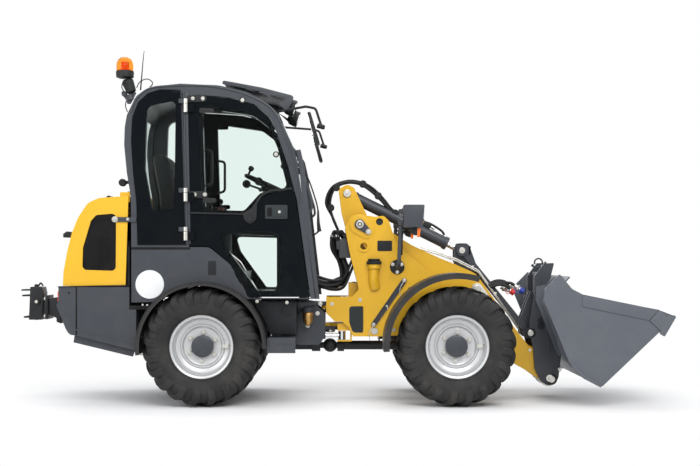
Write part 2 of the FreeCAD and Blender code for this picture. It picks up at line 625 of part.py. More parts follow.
# ------------------------------------------------------------------ front half
def front_chassis():
    """Tower side plates with ears for the tilt cylinder, cross webs and the hinge lugs."""
    tower = [(-71, 612), (-11, 553), (40, 553), (89, 511), (117, 448), (322, 448), (600, 480, 60),
             (740, 521), (890, 521), (900, 600, 40), (760, 740, 60), (692, 880), (485, 1045, 60), (414, 1123, 40), (390, 1200, 30), (370, 1262, 30), (334, 1298, 30),
             (278, 1290, 40), (194, 1301, 30), (110, 1312, 60), (60, 1215, 40), (99, 1014), (160, 780, 30),
             (110, 727, 30), (-71, 727)]
    side = plate(tower, S.tower_half - S.tower_wall, "tower_wall", "XZ",
                 [(193, 1082, 24), (304, 1255, 25)])
    ear = [(EAR[0] + 50, EAR[1] + 40, 30), (EAR[0], EAR[1] + 66, 40), (EAR[0] - 62, EAR[1] + 30, 30), (37, 1323), (75, 1180),
           (110, 1000), (250, 1000), (219, 1298)]
    ears = plate(ear, S.ear_half - S.ear_wall, "ear_wall", "XZ")
    inside = S.tower_half - S.tower_wall
    middle = (S.frame_bottom + S.frame_top) / 2
    web_x = S.hinge_x + 120
    webs = [box((web_x, -inside, 505), (web_x + 16, inside, 724)),
            box((110, -inside, 1000), (126, inside, 1060)), box((300, -inside, 452), (500, inside, 468))]
    lug = [(web_x + 8, -90), (web_x + 8, 90), (S.hinge_x, S.fork_radius - 8),
           (S.hinge_x - S.fork_radius, S.fork_radius - 8, S.fork_radius - 10),
           (S.hinge_x - S.fork_radius, -S.fork_radius + 8, S.fork_radius - 10), (S.hinge_x, -S.fork_radius + 8)]
    lugs = []
    for sign in (1, -1):
        near = middle + sign * (S.fork_rise - 1)
        low_face = near - S.lug_wall if sign > 0 else near
        lugs.append(plate(lug, low_face, "lug_wall", "XY"))
        far = middle + sign * (S.fork_rise + S.fork_wall + 6)
        lugs.append(rod((S.hinge_x, 0, near - sign * 4), (S.hinge_x, 0, far), "hinge_pin"))
    x, y = STEER_HEAD
    reach = x + 70
    ram = [box((x - 32, y - 26, S.steer_z + 33), (reach, y + 26, middle - S.fork_rise + S.lug_wall + 1)),
           box((x - 32, y - 26, S.steer_z - 43), (reach, y + 26, S.steer_z - 33)),
           box((reach - 12, y - 26, S.steer_z - 43), (reach, y + 26, S.steer_z + 40))]
    foot = [box((RAM_FOOT[0] - 40, sign * 56 - 9, RAM_FOOT[1] - 70), (RAM_FOOT[0] + 34, sign * 56 + 9, RAM_FOOT[1] + 34))
            for sign in (1, -1)]
    shelf = box((30, -inside, RAM_FOOT[1] - 86), (230, inside, RAM_FOOT[1] - 70))
    pins = [cross_rod(RAM_FOOT[0], RAM_FOOT[1], 66, "pin_radius"),
            cross_rod(EAR[0], EAR[1], S.ear_half + 6, "pin_radius"),
            cross_rod(LIFT[0], LIFT[1], S.tower_half + 10, "pin_radius")]
    node("front_chassis", fuse(side, mirror(side), ears, mirror(ears), *webs, *lugs, *foot, shelf, *ram,
                               *pins))


def front_details():
    post_x, y = 443, 340
    flange = rod((428, S.tower_half + S.run_gap, 937), (428, S.tower_half + 10, 937), 46)
    leg = rod((428, S.tower_half + 5, 937), (428, y, 937), 14)
    post = rod((428, y, 925), (443, y, 1225), 14)
    shell = box((461, y - 70, 1206), (602, y + 70, 1364))
    arm = box((430, y - 16, 1210), (470, y + 16, 1240))
    blinker = box((500, y - 30, 1140), (580, y + 30, 1206))
    node("headlamps", both(fuse(flange, leg, post, shell, arm, blinker)))
    a, b = (477, 842), (262, 532)
    length = math.dist(a, b)
    ux, uz = (a[0] - b[0]) / length, (a[1] - b[1]) / length
    w = 18
    outline = [(b[0] - uz * w, b[1] + ux * w), (a[0] - uz * w, a[1] + ux * w), (a[0] + uz * w, a[1] - ux * w),
               (b[0] + uz * w, b[1] - ux * w)]
    node("lock_bar", plate(outline, -S.tower_half - S.run_gap - 12, 12))


def propshafts():
    z = 376
    node("propshaft_rear", fuse(rod((REAR_X + S.diff_radius + S.run_gap, 0, z), (S.hinge_x - 70, 0, z), 32),
                                rod((S.hinge_x - 130, 0, z), (S.hinge_x - 70, 0, z), 44),
                                rod((S.hinge_x - 70, 0, z), (S.hinge_x, 0, z), 22)))
    node("propshaft_front", fuse(rod((S.hinge_x + 52, 0, z), (FRONT_X - S.diff_radius - S.run_gap, 0, z), 32),
                                 rod((S.hinge_x + 52, 0, z), (S.hinge_x + 100, 0, z), 44),
                                 rod((S.hinge_x + 30, 0, z), (S.hinge_x + 52, 0, z), 22)))


# ------------------------------------------------------------------ loader
def lift_arm():
    """Two deep side plates joined by cross tubes and a belly plate."""
    outline = [(150, 1298, 50), (240, 1292, 40), (461, 1133), (532, 1091), (728, 1000), (834, 958), (985, 890, 120),
               (1128, 691, 60), (1241, 530), (1360, 375, 60), (1440, 358, 30), (1475, 300), (1560, 175, 50),
               (1500, 100, 50), (1466, 118), (1360, 195), (1240, 262, 60), (1100, 420), (1020, 560, 120),
               (880, 640, 120), (700, 660, 100), (420, 800), (120, 1180, 50)]
    side = plate(outline, S.arm_half - S.arm_wall, "arm_wall", "XZ",
                 [(LIFT[0], LIFT[1], S.pin_radius + S.run_gap)])
    inside = S.arm_half - S.arm_wall
    tie = cross_rod(1148, 392, inside + 2, 34)
    belly = plate([(1148, 372), (1160, 382), (1262, 268), (1250, 258)], -inside - 2, 2 * inside + 4)
    upper_tie = cross_rod(680, 950, inside + 2, 45)
    stub = rod((RAM_HEAD[0], S.eye_half, RAM_HEAD[1]), (RAM_HEAD[0], inside + 2, RAM_HEAD[1]), S.pin_radius - 2)
    bore = cross_rod(LOWER[0], LOWER[1], S.arm_half + 5, S.pin_radius + S.run_gap)
    lever_bore = cross_rod(LEVER[0], LEVER[1], S.arm_half + 5, S.pin_radius + S.run_gap)
    node("lift_arm", cut(fuse(side, mirror(side), tie, belly, upper_tie, stub, mirror(stub)), bore, lever_bore))


def linkage():
    """Lever with two cheeks, link bars, and the pins that they turn on."""
    lever = [(TOP[0] + 50, TOP[1] + 52, 40), (TOP[0] - 53, TOP[1] + 52, 40), (TOP[0] - 53, TOP[1] - 70),
             (LEVER[0] - 62, LEVER[1] - 20, 40), (LEVER[0] - 10, LEVER[1] - 60, 40), (LEVER[0] + 62, LEVER[1] + 6, 40)]
    cheek = plate(lever, S.lever_half - S.lever_wall, "lever_wall")
    tie = cross_rod((TOP[0] + LEVER[0]) / 2, (TOP[1] + LEVER[1]) / 2 - 10, S.lever_half - 2, 22)
    bored = cut(fuse(cheek, mirror(cheek), tie),
                cross_rod(LEVER[0], LEVER[1], S.lever_half + 5, S.pin_radius + S.run_gap),
                cross_rod(TOP[0], TOP[1], S.lever_half + 5, S.pin_radius + S.run_gap))
    node("tilt_lever", bored)
    spacer = cross_rod(LEVER[0], LEVER[1], S.lever_half - S.lever_wall - 2, "eye_radius")
    node("lever_pin", fuse(cross_rod(LEVER[0], LEVER[1], S.arm_half + 10, "pin_radius"), spacer))
    stub = rod((TOP[0], S.eye_half, TOP[1]), (TOP[0], S.link_half + 8, TOP[1]), "pin_radius")
    head = rod((TOP[0], S.link_half + S.run_gap, TOP[1]), (TOP[0], S.link_half + 12, TOP[1]), S.eye_radius - 4)
    node("link_pin", both(fuse(stub, head)))
    run = math.dist(TOP, UPPER)
    ux, uz = (UPPER[0] - TOP[0]) / run, (UPPER[1] - TOP[1]) / run
    w = 19
    bar = [(TOP[0] - uz * w - ux * 30, TOP[1] + ux * w - uz * 30, 15), (UPPER[0] - uz * w + ux * 30, UPPER[1] + ux * w + uz * 30, 15),
           (UPPER[0] + uz * w + ux * 30, UPPER[1] - ux * w + uz * 30, 15), (TOP[0] + uz * w - ux * 30, TOP[1] - ux * w - uz * 30, 15)]
    heads = []
    low = S.link_half - S.link_wall
    for x, z in (TOP, UPPER):
        heads.append(rod((x, low, z), (x, S.link_half, z), 40))
    one = fuse(plate(bar, low, "link_wall"), *heads)
    middle = along(TOP, UPPER, run * 0.62)
    tie = cross_rod(middle[0], middle[1], S.link_half - 2, 17)
    cap = rod((UPPER[0], S.link_half - 2, UPPER[1]), (UPPER[0], S.link_half + 8, UPPER[1]), "pin_radius")
    node("tilt_link", cut(fuse(one, mirror(one), tie, cap, mirror(cap)),
                          cross_rod(TOP[0], TOP[1], S.link_half + 5, S.pin_radius + S.run_gap)))
    inner = S.arm_half - S.arm_wall
    pin = rod((LOWER[0], inner - 10, LOWER[1]), (LOWER[0], S.hitch_half + 8, LOWER[1]), "pin_radius")
    collar = rod((LOWER[0], S.link_half + 5, LOWER[1]), (LOWER[0], inner - S.run_gap, LOWER[1]), "collar_radius")
    node("hitch_pins", both(fuse(pin, collar)))


def quick_hitch():
    """Upright frame that the attachment hangs on: side plates, centre box and hooks."""
    side = [(1532, 965, 8), (1504, 852), (1453, 788, 15), (1446, 722, 15), (1583, 333, 30), (1562, 150, 50),
            (1500, 92, 50), (1440, 130, 20), (1395, 220), (1385, 365), (1358, 482, 20), (1360, 560), (1392, 720),
            (1392, 870, 20), (1462, 962)]
    plates = plate(side, S.hitch_half - S.hitch_wall, "hitch_wall")
    wing = [(1300, 545, 20), (1335, 440, 30), (1400, 430, 30), (1440, 560), (1440, 720, 20), (1385, 765)]
    lugs = plate(wing, 30, "lever_wall")
    back = box((1422, -S.hitch_half + 2, 560), (1436, S.hitch_half - 2, 900))
    tie = cross_rod(1440, 560, S.hitch_half - 2, 24)
    pin = cross_rod(UPPER[0], UPPER[1], S.lever_half - 2, "pin_radius")
    frame = fuse(plates, mirror(plates), lugs, mirror(lugs), back, tie, pin)
    bore = cross_rod(LOWER[0], LOWER[1], S.hitch_half + 30, S.pin_radius + S.run_gap)
    node("quick_hitch", cut(frame, bore))


def bucket():
    """Rolled shell between two side plates, with back lugs that hang on the hitch."""
    half, wall = S.bucket_half, S.bucket_wall
    side = [(1478, 894, 8), (1378, 792, 20), (1373, 721, 40), (1543, 308), (1591, 249, 60), (1751, 141, 30),
            (S.bucket_lip_x, 613), (2135, 656), (1630, 759, 40), (1560, 796, 30)]
    cheek = plate(side, half - S.bucket_side, "bucket_side")
    outer = [(1540, 878), (1462, 790, 25), (1455, 722, 40), (1592, 330), (1625, 262, 80), (1751, 141, 30),
             (S.bucket_lip_x, 613)]
    inner = [[1540 + wall, 872], [1462 + wall, 786, 20], [1455 + wall, 724, 35], [1592 + wall, 333],
             [1625 + wall, 268, 70], [1751, 141 + 1.4 * wall, 20], [S.bucket_lip_x - 0.7 * wall, 613 + 0.7 * wall]]
    shell = plate(outer + inner[::-1], -half + 2, 2 * half - 4)
    lug = plate([(1400, 700, 15), (1400, 800, 20), (1475, 812), (1475, 722), (1600, 345), (1560, 300, 15)],
                S.hitch_half + S.run_gap, 16)
    node("bucket", fuse(cheek, mirror(cheek), shell, lug, mirror(lug)))


def cylinder(prefix, foot, head, bore, bar, barrel_length, piston, y=0.0, flat=False):
    """Barrel and rod between two pins in the side view, or in the plan view when flat."""
    length = math.dist(foot, head)

    def space(point):
        return (point[0], point[1], y) if flat else (point[0], y, point[1])

    def eye(point, radius):
        x, v, w = space(point)
        reach = S.eye_half - 4
        return rod((x, v, w - reach), (x, v, w + reach), radius) if flat else rod((x, v - reach, w), (x, v + reach, w), radius)

    pin = 14 if flat else S.pin_radius
    start = along(foot, head, pin + 10)
    end = along(foot, head, barrel_length)
    barrel = fuse(rod(space(start), space(end), bore), eye(foot, 40 if not flat else 30))
    bore_hole = rod(space(along(foot, head, 45)), space(along(foot, head, length)), getattr(S, bar) + S.run_gap)
    pin_hole = eye(foot, pin + S.run_gap)
    node(prefix + "_barrel", cut(barrel, bore_hole, pin_hole))
    inner_end = along(foot, head, piston)
    node(prefix + "_rod", fuse(rod(space(inner_end), space(head), bar), eye(head, 36 if not flat else 26)))


def cylinders():
    cylinder("tilt", EAR, TOP, "tilt_bore", "tilt_rod", 800, 80)
    cylinder("lift", RAM_FOOT, RAM_HEAD, "lift_bore", "lift_rod", 660, 70)
    cylinder("steer", STEER_FOOT, STEER_HEAD, "steer_bore", "steer_rod", 344, 135, S.steer_z, True)



# ------------------------------------------------------------------ build, check and write
for build in (wheels, rear_chassis, engine, counterweight, tow_hitch, hood, cab, cab_inside, fenders, roof_gear,
              front_chassis, front_details, propshafts, lift_arm, linkage, quick_hitch, bucket, cylinders):
    build()
axle("rear_axle", REAR_X, S.frame_bottom - S.run_gap)
axle("front_axle", FRONT_X, 521 - S.run_gap)
doc.recompute()

for obj in doc.Objects:
    if "Invalid" in obj.State or "Error" in obj.State:
        raise RuntimeError("%s failed: %s" % (obj.Label, obj.State))
for label, obj in pieces.items():
    if obj.Shape.isNull() or not obj.Shape.isValid() or not obj.Shape.Solids:
        raise RuntimeError("%s has no valid shape" % label)

os.makedirs("parts", exist_ok=True)
for label, obj in pieces.items():
    obj.Shape.exportStep(os.path.join("parts", label + ".step"))
    print(label, len(obj.Shape.Solids), "%.2f litres" % (obj.Shape.Volume / 1e6), obj.Shape.BoundBox)
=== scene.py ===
"""Finishes and small parts of a compact wheel loader, fitted round its fixed frame."""
import math

import bmesh
import bpy
from mathutils import Matrix, Vector


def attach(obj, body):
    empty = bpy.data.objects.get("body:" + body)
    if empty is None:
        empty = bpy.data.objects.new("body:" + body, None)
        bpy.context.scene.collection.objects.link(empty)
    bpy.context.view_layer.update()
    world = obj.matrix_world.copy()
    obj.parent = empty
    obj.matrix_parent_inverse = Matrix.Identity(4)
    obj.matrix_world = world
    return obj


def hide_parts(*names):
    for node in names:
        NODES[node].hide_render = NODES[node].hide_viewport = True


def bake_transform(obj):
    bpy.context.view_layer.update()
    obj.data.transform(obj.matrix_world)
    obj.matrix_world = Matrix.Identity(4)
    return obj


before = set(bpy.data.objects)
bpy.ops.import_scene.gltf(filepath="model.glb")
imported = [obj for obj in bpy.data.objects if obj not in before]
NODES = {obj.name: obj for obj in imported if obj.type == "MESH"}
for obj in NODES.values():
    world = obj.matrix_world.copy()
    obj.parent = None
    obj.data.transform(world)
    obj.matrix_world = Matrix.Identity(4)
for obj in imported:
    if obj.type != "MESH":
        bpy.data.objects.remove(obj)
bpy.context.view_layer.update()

# Places on the machine, in metres
HINGE_X = -0.045
AXLE_Z = 0.405
REAR_X, FRONT_X = -0.901, 0.811
TRACK_HALF = 0.445
EAR, TOP, LEVER = (0.077, 1.458), (0.892, 1.053), (0.993, 0.783)
RAM_FOOT, RAM_HEAD = (0.127, 0.791), (0.844, 0.710)
SKIN = 0.484
HINGE_HEIGHTS = (1.148, 1.410, 2.010)

# The bodies that most pieces ride on
CAB, FRONT, ARM, HITCH = "rear_frame", "front_frame", "lift_arm", "quick_hitch"


# ---------------------------------------------------------------- camera and light

def set_camera():
    """Side view from the right, a metre above the ground."""
    data = bpy.data.cameras.new("side_camera")
    data.sensor_width, data.lens = 36.0, 36.0 / 2 / math.tan(math.radians(34.84) / 2)
    data.shift_x, data.shift_y = 0.0157, 0.0357
    camera = bpy.data.objects.new("side_camera", data)
    camera.location = (0.019, -8.0, 1.0)
    camera.rotation_euler = (math.radians(90), 0, 0)
    bpy.context.collection.objects.link(camera)
    bpy.context.scene.camera = camera


def area_light(name, place, target, size, power):
    """A soft panel of light that glass doesn't show."""
    data = bpy.data.lights.new(name, "AREA")
    data.shape, data.size, data.size_y = "RECTANGLE", size[0], size[1]
    data.energy = power
    lamp = bpy.data.objects.new(name, data)
    lamp.visible_transmission = False
    lamp.location = place
    lamp.rotation_euler = (Vector(target) - Vector(place)).to_track_quat("-Z", "Y").to_euler()
    bpy.context.collection.objects.link(lamp)


def set_studio():
    """Soft studio light, a pale floor, and a white surround where only the view and reflections see it."""
    scene = bpy.context.scene
    scene.view_settings.view_transform = "Standard"
    area_light("key", (1.5, -6.5, 6.0), (0, 0, 0.8), (6, 4), 490)
    area_light("fill", (-5.5, -5.0, 3.5), (0, 0, 0.8), (4, 4), 165)
    area_light("top", (0, 1.0, 7.0), (0, 0, 0), (7, 5), 245)
    area_light("back", (0, 7.0, 4.0), (0, 0, 1.0), (6, 3), 135)
    world = bpy.data.worlds.new("studio")
    scene.world = world
    world.use_nodes = True
    tree = world.node_tree
    tree.nodes.clear()
    out = tree.nodes.new("ShaderNodeOutputWorld")
    mix = tree.nodes.new("ShaderNodeMixShader")
    soft, white = tree.nodes.new("ShaderNodeBackground"), tree.nodes.new("ShaderNodeBackground")
    soft.inputs["Color"].default_value = (0.93, 0.95, 1.0, 1)
    soft.inputs["Strength"].default_value = 0.55
    white.inputs["Color"].default_value = (1, 1, 1, 1)
    rays = seen_rays(tree)
    tree.links.new(rays, mix.inputs[0])
    tree.links.new(soft.outputs[0], mix.inputs[1])
    tree.links.new(white.outputs[0], mix.inputs[2])
    tree.links.new(mix.outputs[0], out.inputs[0])
    floor_plane()


def seen_rays(tree):
    """1 for rays from the view, in a reflection or through glass."""
    path = tree.nodes.new("ShaderNodeLightPath")
    first, second = tree.nodes.new("ShaderNodeMath"), tree.nodes.new("ShaderNodeMath")
    first.operation = second.operation = "MAXIMUM"
    tree.links.new(path.outputs["Is Camera Ray"], first.inputs[0])
    tree.links.new(path.outputs["Is Transmission Ray"], first.inputs[1])
    tree.links.new(first.outputs[0], second.inputs[0])
    tree.links.new(path.outputs["Is Glossy Ray"], second.inputs[1])
    return second.outputs[0]


def floor_plane():
    """Pale floor that keeps the shadow near the wheels and fades to white further out."""
    mesh = bpy.data.meshes.new("floor")
    reach = 60.0
    mesh.from_pydata([(-reach, -reach, 0), (reach, -reach, 0), (reach, reach, 0), (-reach, reach, 0)], [],
        [(0, 1, 2, 3)])
    floor = bpy.data.objects.new("floor", mesh)
    bpy.context.collection.objects.link(floor)
    material = bpy.data.materials.new("floor")
    material.use_nodes = True
    tree = material.node_tree
    body = tree.nodes["Principled BSDF"]
    body.inputs["Base Color"].default_value = (0.86, 0.86, 0.86, 1)
    body.inputs["Roughness"].default_value = 0.7
    body.inputs["Specular IOR Level"].default_value = 0.1
    glow = tree.nodes.new("ShaderNodeEmission")
    glow.inputs["Strength"].default_value = 1.0
    place = tree.nodes.new("ShaderNodeNewGeometry")
    stretch = tree.nodes.new("ShaderNodeVectorMath")
    stretch.operation = "MULTIPLY"
    stretch.inputs[1].default_value = (0.36, 0.62, 0)
    reach_of = tree.nodes.new("ShaderNodeVectorMath")
    reach_of.operation = "LENGTH"
    fade = tree.nodes.new("ShaderNodeMapRange")
    fade.inputs["From Min"].default_value, fade.inputs["From Max"].default_value = 0.55, 1.25
    fade.inputs["To Min"].default_value, fade.inputs["To Max"].default_value = 0.0, 1.0
    both_ways = tree.nodes.new("ShaderNodeMath")
    both_ways.operation = "MULTIPLY"
    mix = tree.nodes.new("ShaderNodeMixShader")
    tree.links.new(place.outputs["Position"], stretch.inputs[0])
    tree.links.new(stretch.outputs[0], reach_of.inputs[0])
    tree.links.new(reach_of.outputs["Value"], fade.inputs["Value"])
    tree.links.new(fade.outputs[0], both_ways.inputs[0])
    tree.links.new(seen_rays(tree), both_ways.inputs[1])
    tree.links.new(both_ways.outputs[0], mix.inputs[0])
    tree.links.new(body.outputs[0], mix.inputs[1])
    tree.links.new(glow.outputs[0], mix.inputs[2])
    tree.links.new(mix.outputs[0], tree.nodes["Material Output"].inputs[0])
    mesh.materials.append(material)


# ---------------------------------------------------------------- finishes

def shader_group(name, inputs, outputs):
    """An empty node group with named sockets; returns it with its input and output nodes."""
    group = bpy.data.node_groups.new(name, "ShaderNodeTree")
    for label, kind, value in inputs:
        socket = group.interface.new_socket(label, in_out="INPUT", socket_type=kind)
        if value is not None:
            socket.default_value = value
    for label, kind in outputs:
        group.interface.new_socket(label, in_out="OUTPUT", socket_type=kind)
    return group, group.nodes.new("NodeGroupInput"), group.nodes.new("NodeGroupOutput")


def noise(tree, vector, scale, detail=3.0, rough=0.5):
    """Cloudy noise at a scale that is a number or a socket."""
    node = tree.nodes.new("ShaderNodeTexNoise")
    node.inputs["Detail"].default_value = detail
    node.inputs["Roughness"].default_value = rough
    if isinstance(scale, (int, float)):
        node.inputs["Scale"].default_value = scale
    else:
        tree.links.new(scale, node.inputs["Scale"])
    tree.links.new(vector, node.inputs["Vector"])
    return node.outputs["Fac"]


def spread(tree, value, low, high, to_low=0.0, to_high=1.0):
    """Maps a band of a value to another, without going past it."""
    node = tree.nodes.new("ShaderNodeMapRange")
    for label, number in (("From Min", low), ("From Max", high), ("To Min", to_low), ("To Max", to_high)):
        if isinstance(number, (int, float)):
            node.inputs[label].default_value = number
        else:
            tree.links.new(number, node.inputs[label])
    tree.links.new(value, node.inputs["Value"])
    return node.outputs[0]


def maths(tree, operation, first, second):
    """One sum on numbers or sockets."""
    node = tree.nodes.new("ShaderNodeMath")
    node.operation = operation
    for socket, value in zip(node.inputs, (first, second)):
        if isinstance(value, (int, float)):
            socket.default_value = value
        else:
            tree.links.new(value, socket)
    return node.outputs[0]


def blend_colour(tree, factor, first, second):
    """A mix of two colours, each a value or a socket."""
    node = tree.nodes.new("ShaderNodeMix")
    node.data_type = "RGBA"
    if isinstance(factor, (int, float)):
        node.inputs[0].default_value = factor
    else:
        tree.links.new(factor, node.inputs[0])
    for socket, value in ((node.inputs[6], first), (node.inputs[7], second)):
        if isinstance(value, tuple):
            socket.default_value = value
        else:
            tree.links.new(value, socket)
    return node.outputs[2]


def mottle_group():
    """Slow drift of colour and gloss over a painted or moulded surface."""
    group, given, out = shader_group("surface_drift",
        [("Vector", "NodeSocketVector", None), ("Colour", "NodeSocketColor", (0.5, 0.5, 0.5, 1)),
        ("Drift", "NodeSocketFloat", 0.1), ("Roughness", "NodeSocketFloat", 0.4)],
        [("Colour", "NodeSocketColor"), ("Roughness", "NodeSocketFloat")])
    slow = noise(group, given.outputs["Vector"], 2.2, 4.0)
    fine = noise(group, given.outputs["Vector"], 38.0, 4.0, 0.6)
    both = maths(group, "ADD", maths(group, "MULTIPLY", slow, 0.65), maths(group, "MULTIPLY", fine, 0.35))
    shade = spread(group, both, 0.32, 0.68)
    bright = group.nodes.new("ShaderNodeHueSaturation")
    group.links.new(given.outputs["Colour"], bright.inputs["Color"])
    value = maths(group, "MULTIPLY", maths(group, "SUBTRACT", shade, 0.5), given.outputs["Drift"])
    group.links.new(maths(group, "ADD", value, 1.0), bright.inputs["Value"])
    group.links.new(bright.outputs[0], out.inputs["Colour"])
    rough = maths(group, "MULTIPLY", maths(group, "SUBTRACT", fine, 0.5), 0.22)
    group.links.new(maths(group, "ADD", rough, given.outputs["Roughness"]), out.inputs["Roughness"])
    return group


def dust_group():
    """Pale dust that lies thicker near the ground and in patches."""
    group, given, out = shader_group("road_dust",
        [("Vector", "NodeSocketVector", None), ("Colour", "NodeSocketColor", (0.5, 0.5, 0.5, 1)),
        ("Roughness", "NodeSocketFloat", 0.4), ("Amount", "NodeSocketFloat", 0.2)],
        [("Colour", "NodeSocketColor"), ("Roughness", "NodeSocketFloat"), ("Mask", "NodeSocketFloat")])
    parts = group.nodes.new("ShaderNodeSeparateXYZ")
    group.links.new(given.outputs["Vector"], parts.inputs[0])
    low = spread(group, parts.outputs["Z"], 0.0, 1.3, 1.0, 0.15)
    patches = spread(group, noise(group, given.outputs["Vector"], 7.0, 6.0, 0.62), 0.42, 0.72)
    specks = spread(group, noise(group, given.outputs["Vector"], 130.0, 2.0), 0.5, 0.75, 0.35, 1.0)
    mask = maths(group, "MULTIPLY", maths(group, "MULTIPLY", low, patches), specks)
    mask = maths(group, "MULTIPLY", mask, given.outputs["Amount"])
    group.links.new(blend_colour(group, mask, given.outputs["Colour"], (0.30, 0.27, 0.23, 1)),
        out.inputs["Colour"])
    group.links.new(maths(group, "ADD", given.outputs["Roughness"], maths(group, "MULTIPLY", mask, 0.5)),
        out.inputs["Roughness"])
    group.links.new(mask, out.inputs["Mask"])
    return group


def grain_group():
    """Height of a fine surface texture: orange peel, moulded grain or cast skin."""
    group, given, out = shader_group("skin_grain",
        [("Vector", "NodeSocketVector", None), ("Scale", "NodeSocketFloat", 400.0),
        ("Pits", "NodeSocketFloat", 0.0)], [("Height", "NodeSocketFloat")])
    soft = noise(group, given.outputs["Vector"], given.outputs["Scale"], 2.0)
    cells = group.nodes.new("ShaderNodeTexVoronoi")
    group.links.new(given.outputs["Vector"], cells.inputs["Vector"])
    group.links.new(given.outputs["Scale"], cells.inputs["Scale"])
    pits = maths(group, "MULTIPLY", cells.outputs["Distance"], given.outputs["Pits"])
    group.links.new(maths(group, "ADD", soft, pits), out.inputs["Height"])
    return group


def weave_group():
    """Crossed threads of a seat cloth, as a height and a shade."""
    group, given, out = shader_group("seat_weave",
        [("Vector", "NodeSocketVector", None), ("Threads", "NodeSocketFloat", 700.0)],
        [("Height", "NodeSocketFloat"), ("Shade", "NodeSocketFloat")])
    bands = []
    for direction in ("X", "Z"):
        wave = group.nodes.new("ShaderNodeTexWave")
        wave.bands_direction = direction
        wave.inputs["Distortion"].default_value = 0.6
        group.links.new(given.outputs["Vector"], wave.inputs["Vector"])
        group.links.new(given.outputs["Threads"], wave.inputs["Scale"])
        bands.append(wave.outputs["Fac"])
    height = maths(group, "MAXIMUM", bands[0], bands[1])
    group.links.new(height, out.inputs["Height"])
    group.links.new(maths(group, "ADD", maths(group, "MULTIPLY", height, 0.4), 0.6), out.inputs["Shade"])
    return group


GROUPS = {}
FINISH = {}


def finish(name, colour, roughness, metallic=0.0, coat=0.0, drift=0.10, dust=0.25, grain=500.0, depth=0.0002,
        pits=0.0, specular=0.5, sheen=0.0):
    """A finish made of the shared effects, with its own colour and gloss."""
    material = bpy.data.materials.new(name)
    material.use_nodes = True
    tree = material.node_tree
    body = tree.nodes["Principled BSDF"]
    place = tree.nodes.new("ShaderNodeTexCoord").outputs["Object"]
    nodes = {}
    for key in ("surface_drift", "road_dust", "skin_grain"):
        nodes[key] = tree.nodes.new("ShaderNodeGroup")
        nodes[key].node_tree = GROUPS[key]
        tree.links.new(place, nodes[key].inputs["Vector"])
    drifted, dusted, grained = nodes.values()
    drifted.inputs["Colour"].default_value = (*colour, 1)
    drifted.inputs["Drift"].default_value = drift
    drifted.inputs["Roughness"].default_value = roughness
    tree.links.new(drifted.outputs["Colour"], dusted.inputs["Colour"])
    tree.links.new(drifted.outputs["Roughness"], dusted.inputs["Roughness"])
    dusted.inputs["Amount"].default_value = dust
    grained.inputs["Scale"].default_value = grain
    grained.inputs["Pits"].default_value = pits
    bump = tree.nodes.new("ShaderNodeBump")
    bump.inputs["Strength"].default_value = 0.6
    bump.inputs["Distance"].default_value = depth
    tree.links.new(grained.outputs["Height"], bump.inputs["Height"])
    tree.links.new(bump.outputs[0], body.inputs["Normal"])
    tree.links.new(dusted.outputs["Colour"], body.inputs["Base Color"])
    tree.links.new(dusted.outputs["Roughness"], body.inputs["Roughness"])
    body.inputs["Metallic"].default_value = metallic
    body.inputs["Coat Weight"].default_value = coat
    body.inputs["Coat Roughness"].default_value = 0.12
    body.inputs["Specular IOR Level"].default_value = specular
    if sheen:
        body.inputs["Sheen Weight"].default_value = sheen
        body.inputs["Sheen Roughness"].default_value = 0.5
    FINISH[name] = material
    return material


def clear_finish(name, colour, roughness=0.02, ior=1.5):
    """Glass or a clear moulded lens."""
    material = bpy.data.materials.new(name)
    material.use_nodes = True
    tree = material.node_tree
    body = tree.nodes["Principled BSDF"]
    place = tree.nodes.new("ShaderNodeTexCoord").outputs["Object"]
    film = spread(tree, noise(tree, place, 5.0, 5.0), 0.35, 0.75, roughness, roughness + 0.05)
    tree.links.new(film, body.inputs["Roughness"])
    body.inputs["Base Color"].default_value = (*colour, 1)
    body.inputs["Transmission Weight"].default_value = 1.0
    body.inputs["IOR"].default_value = ior
    FINISH[name] = material
    return material


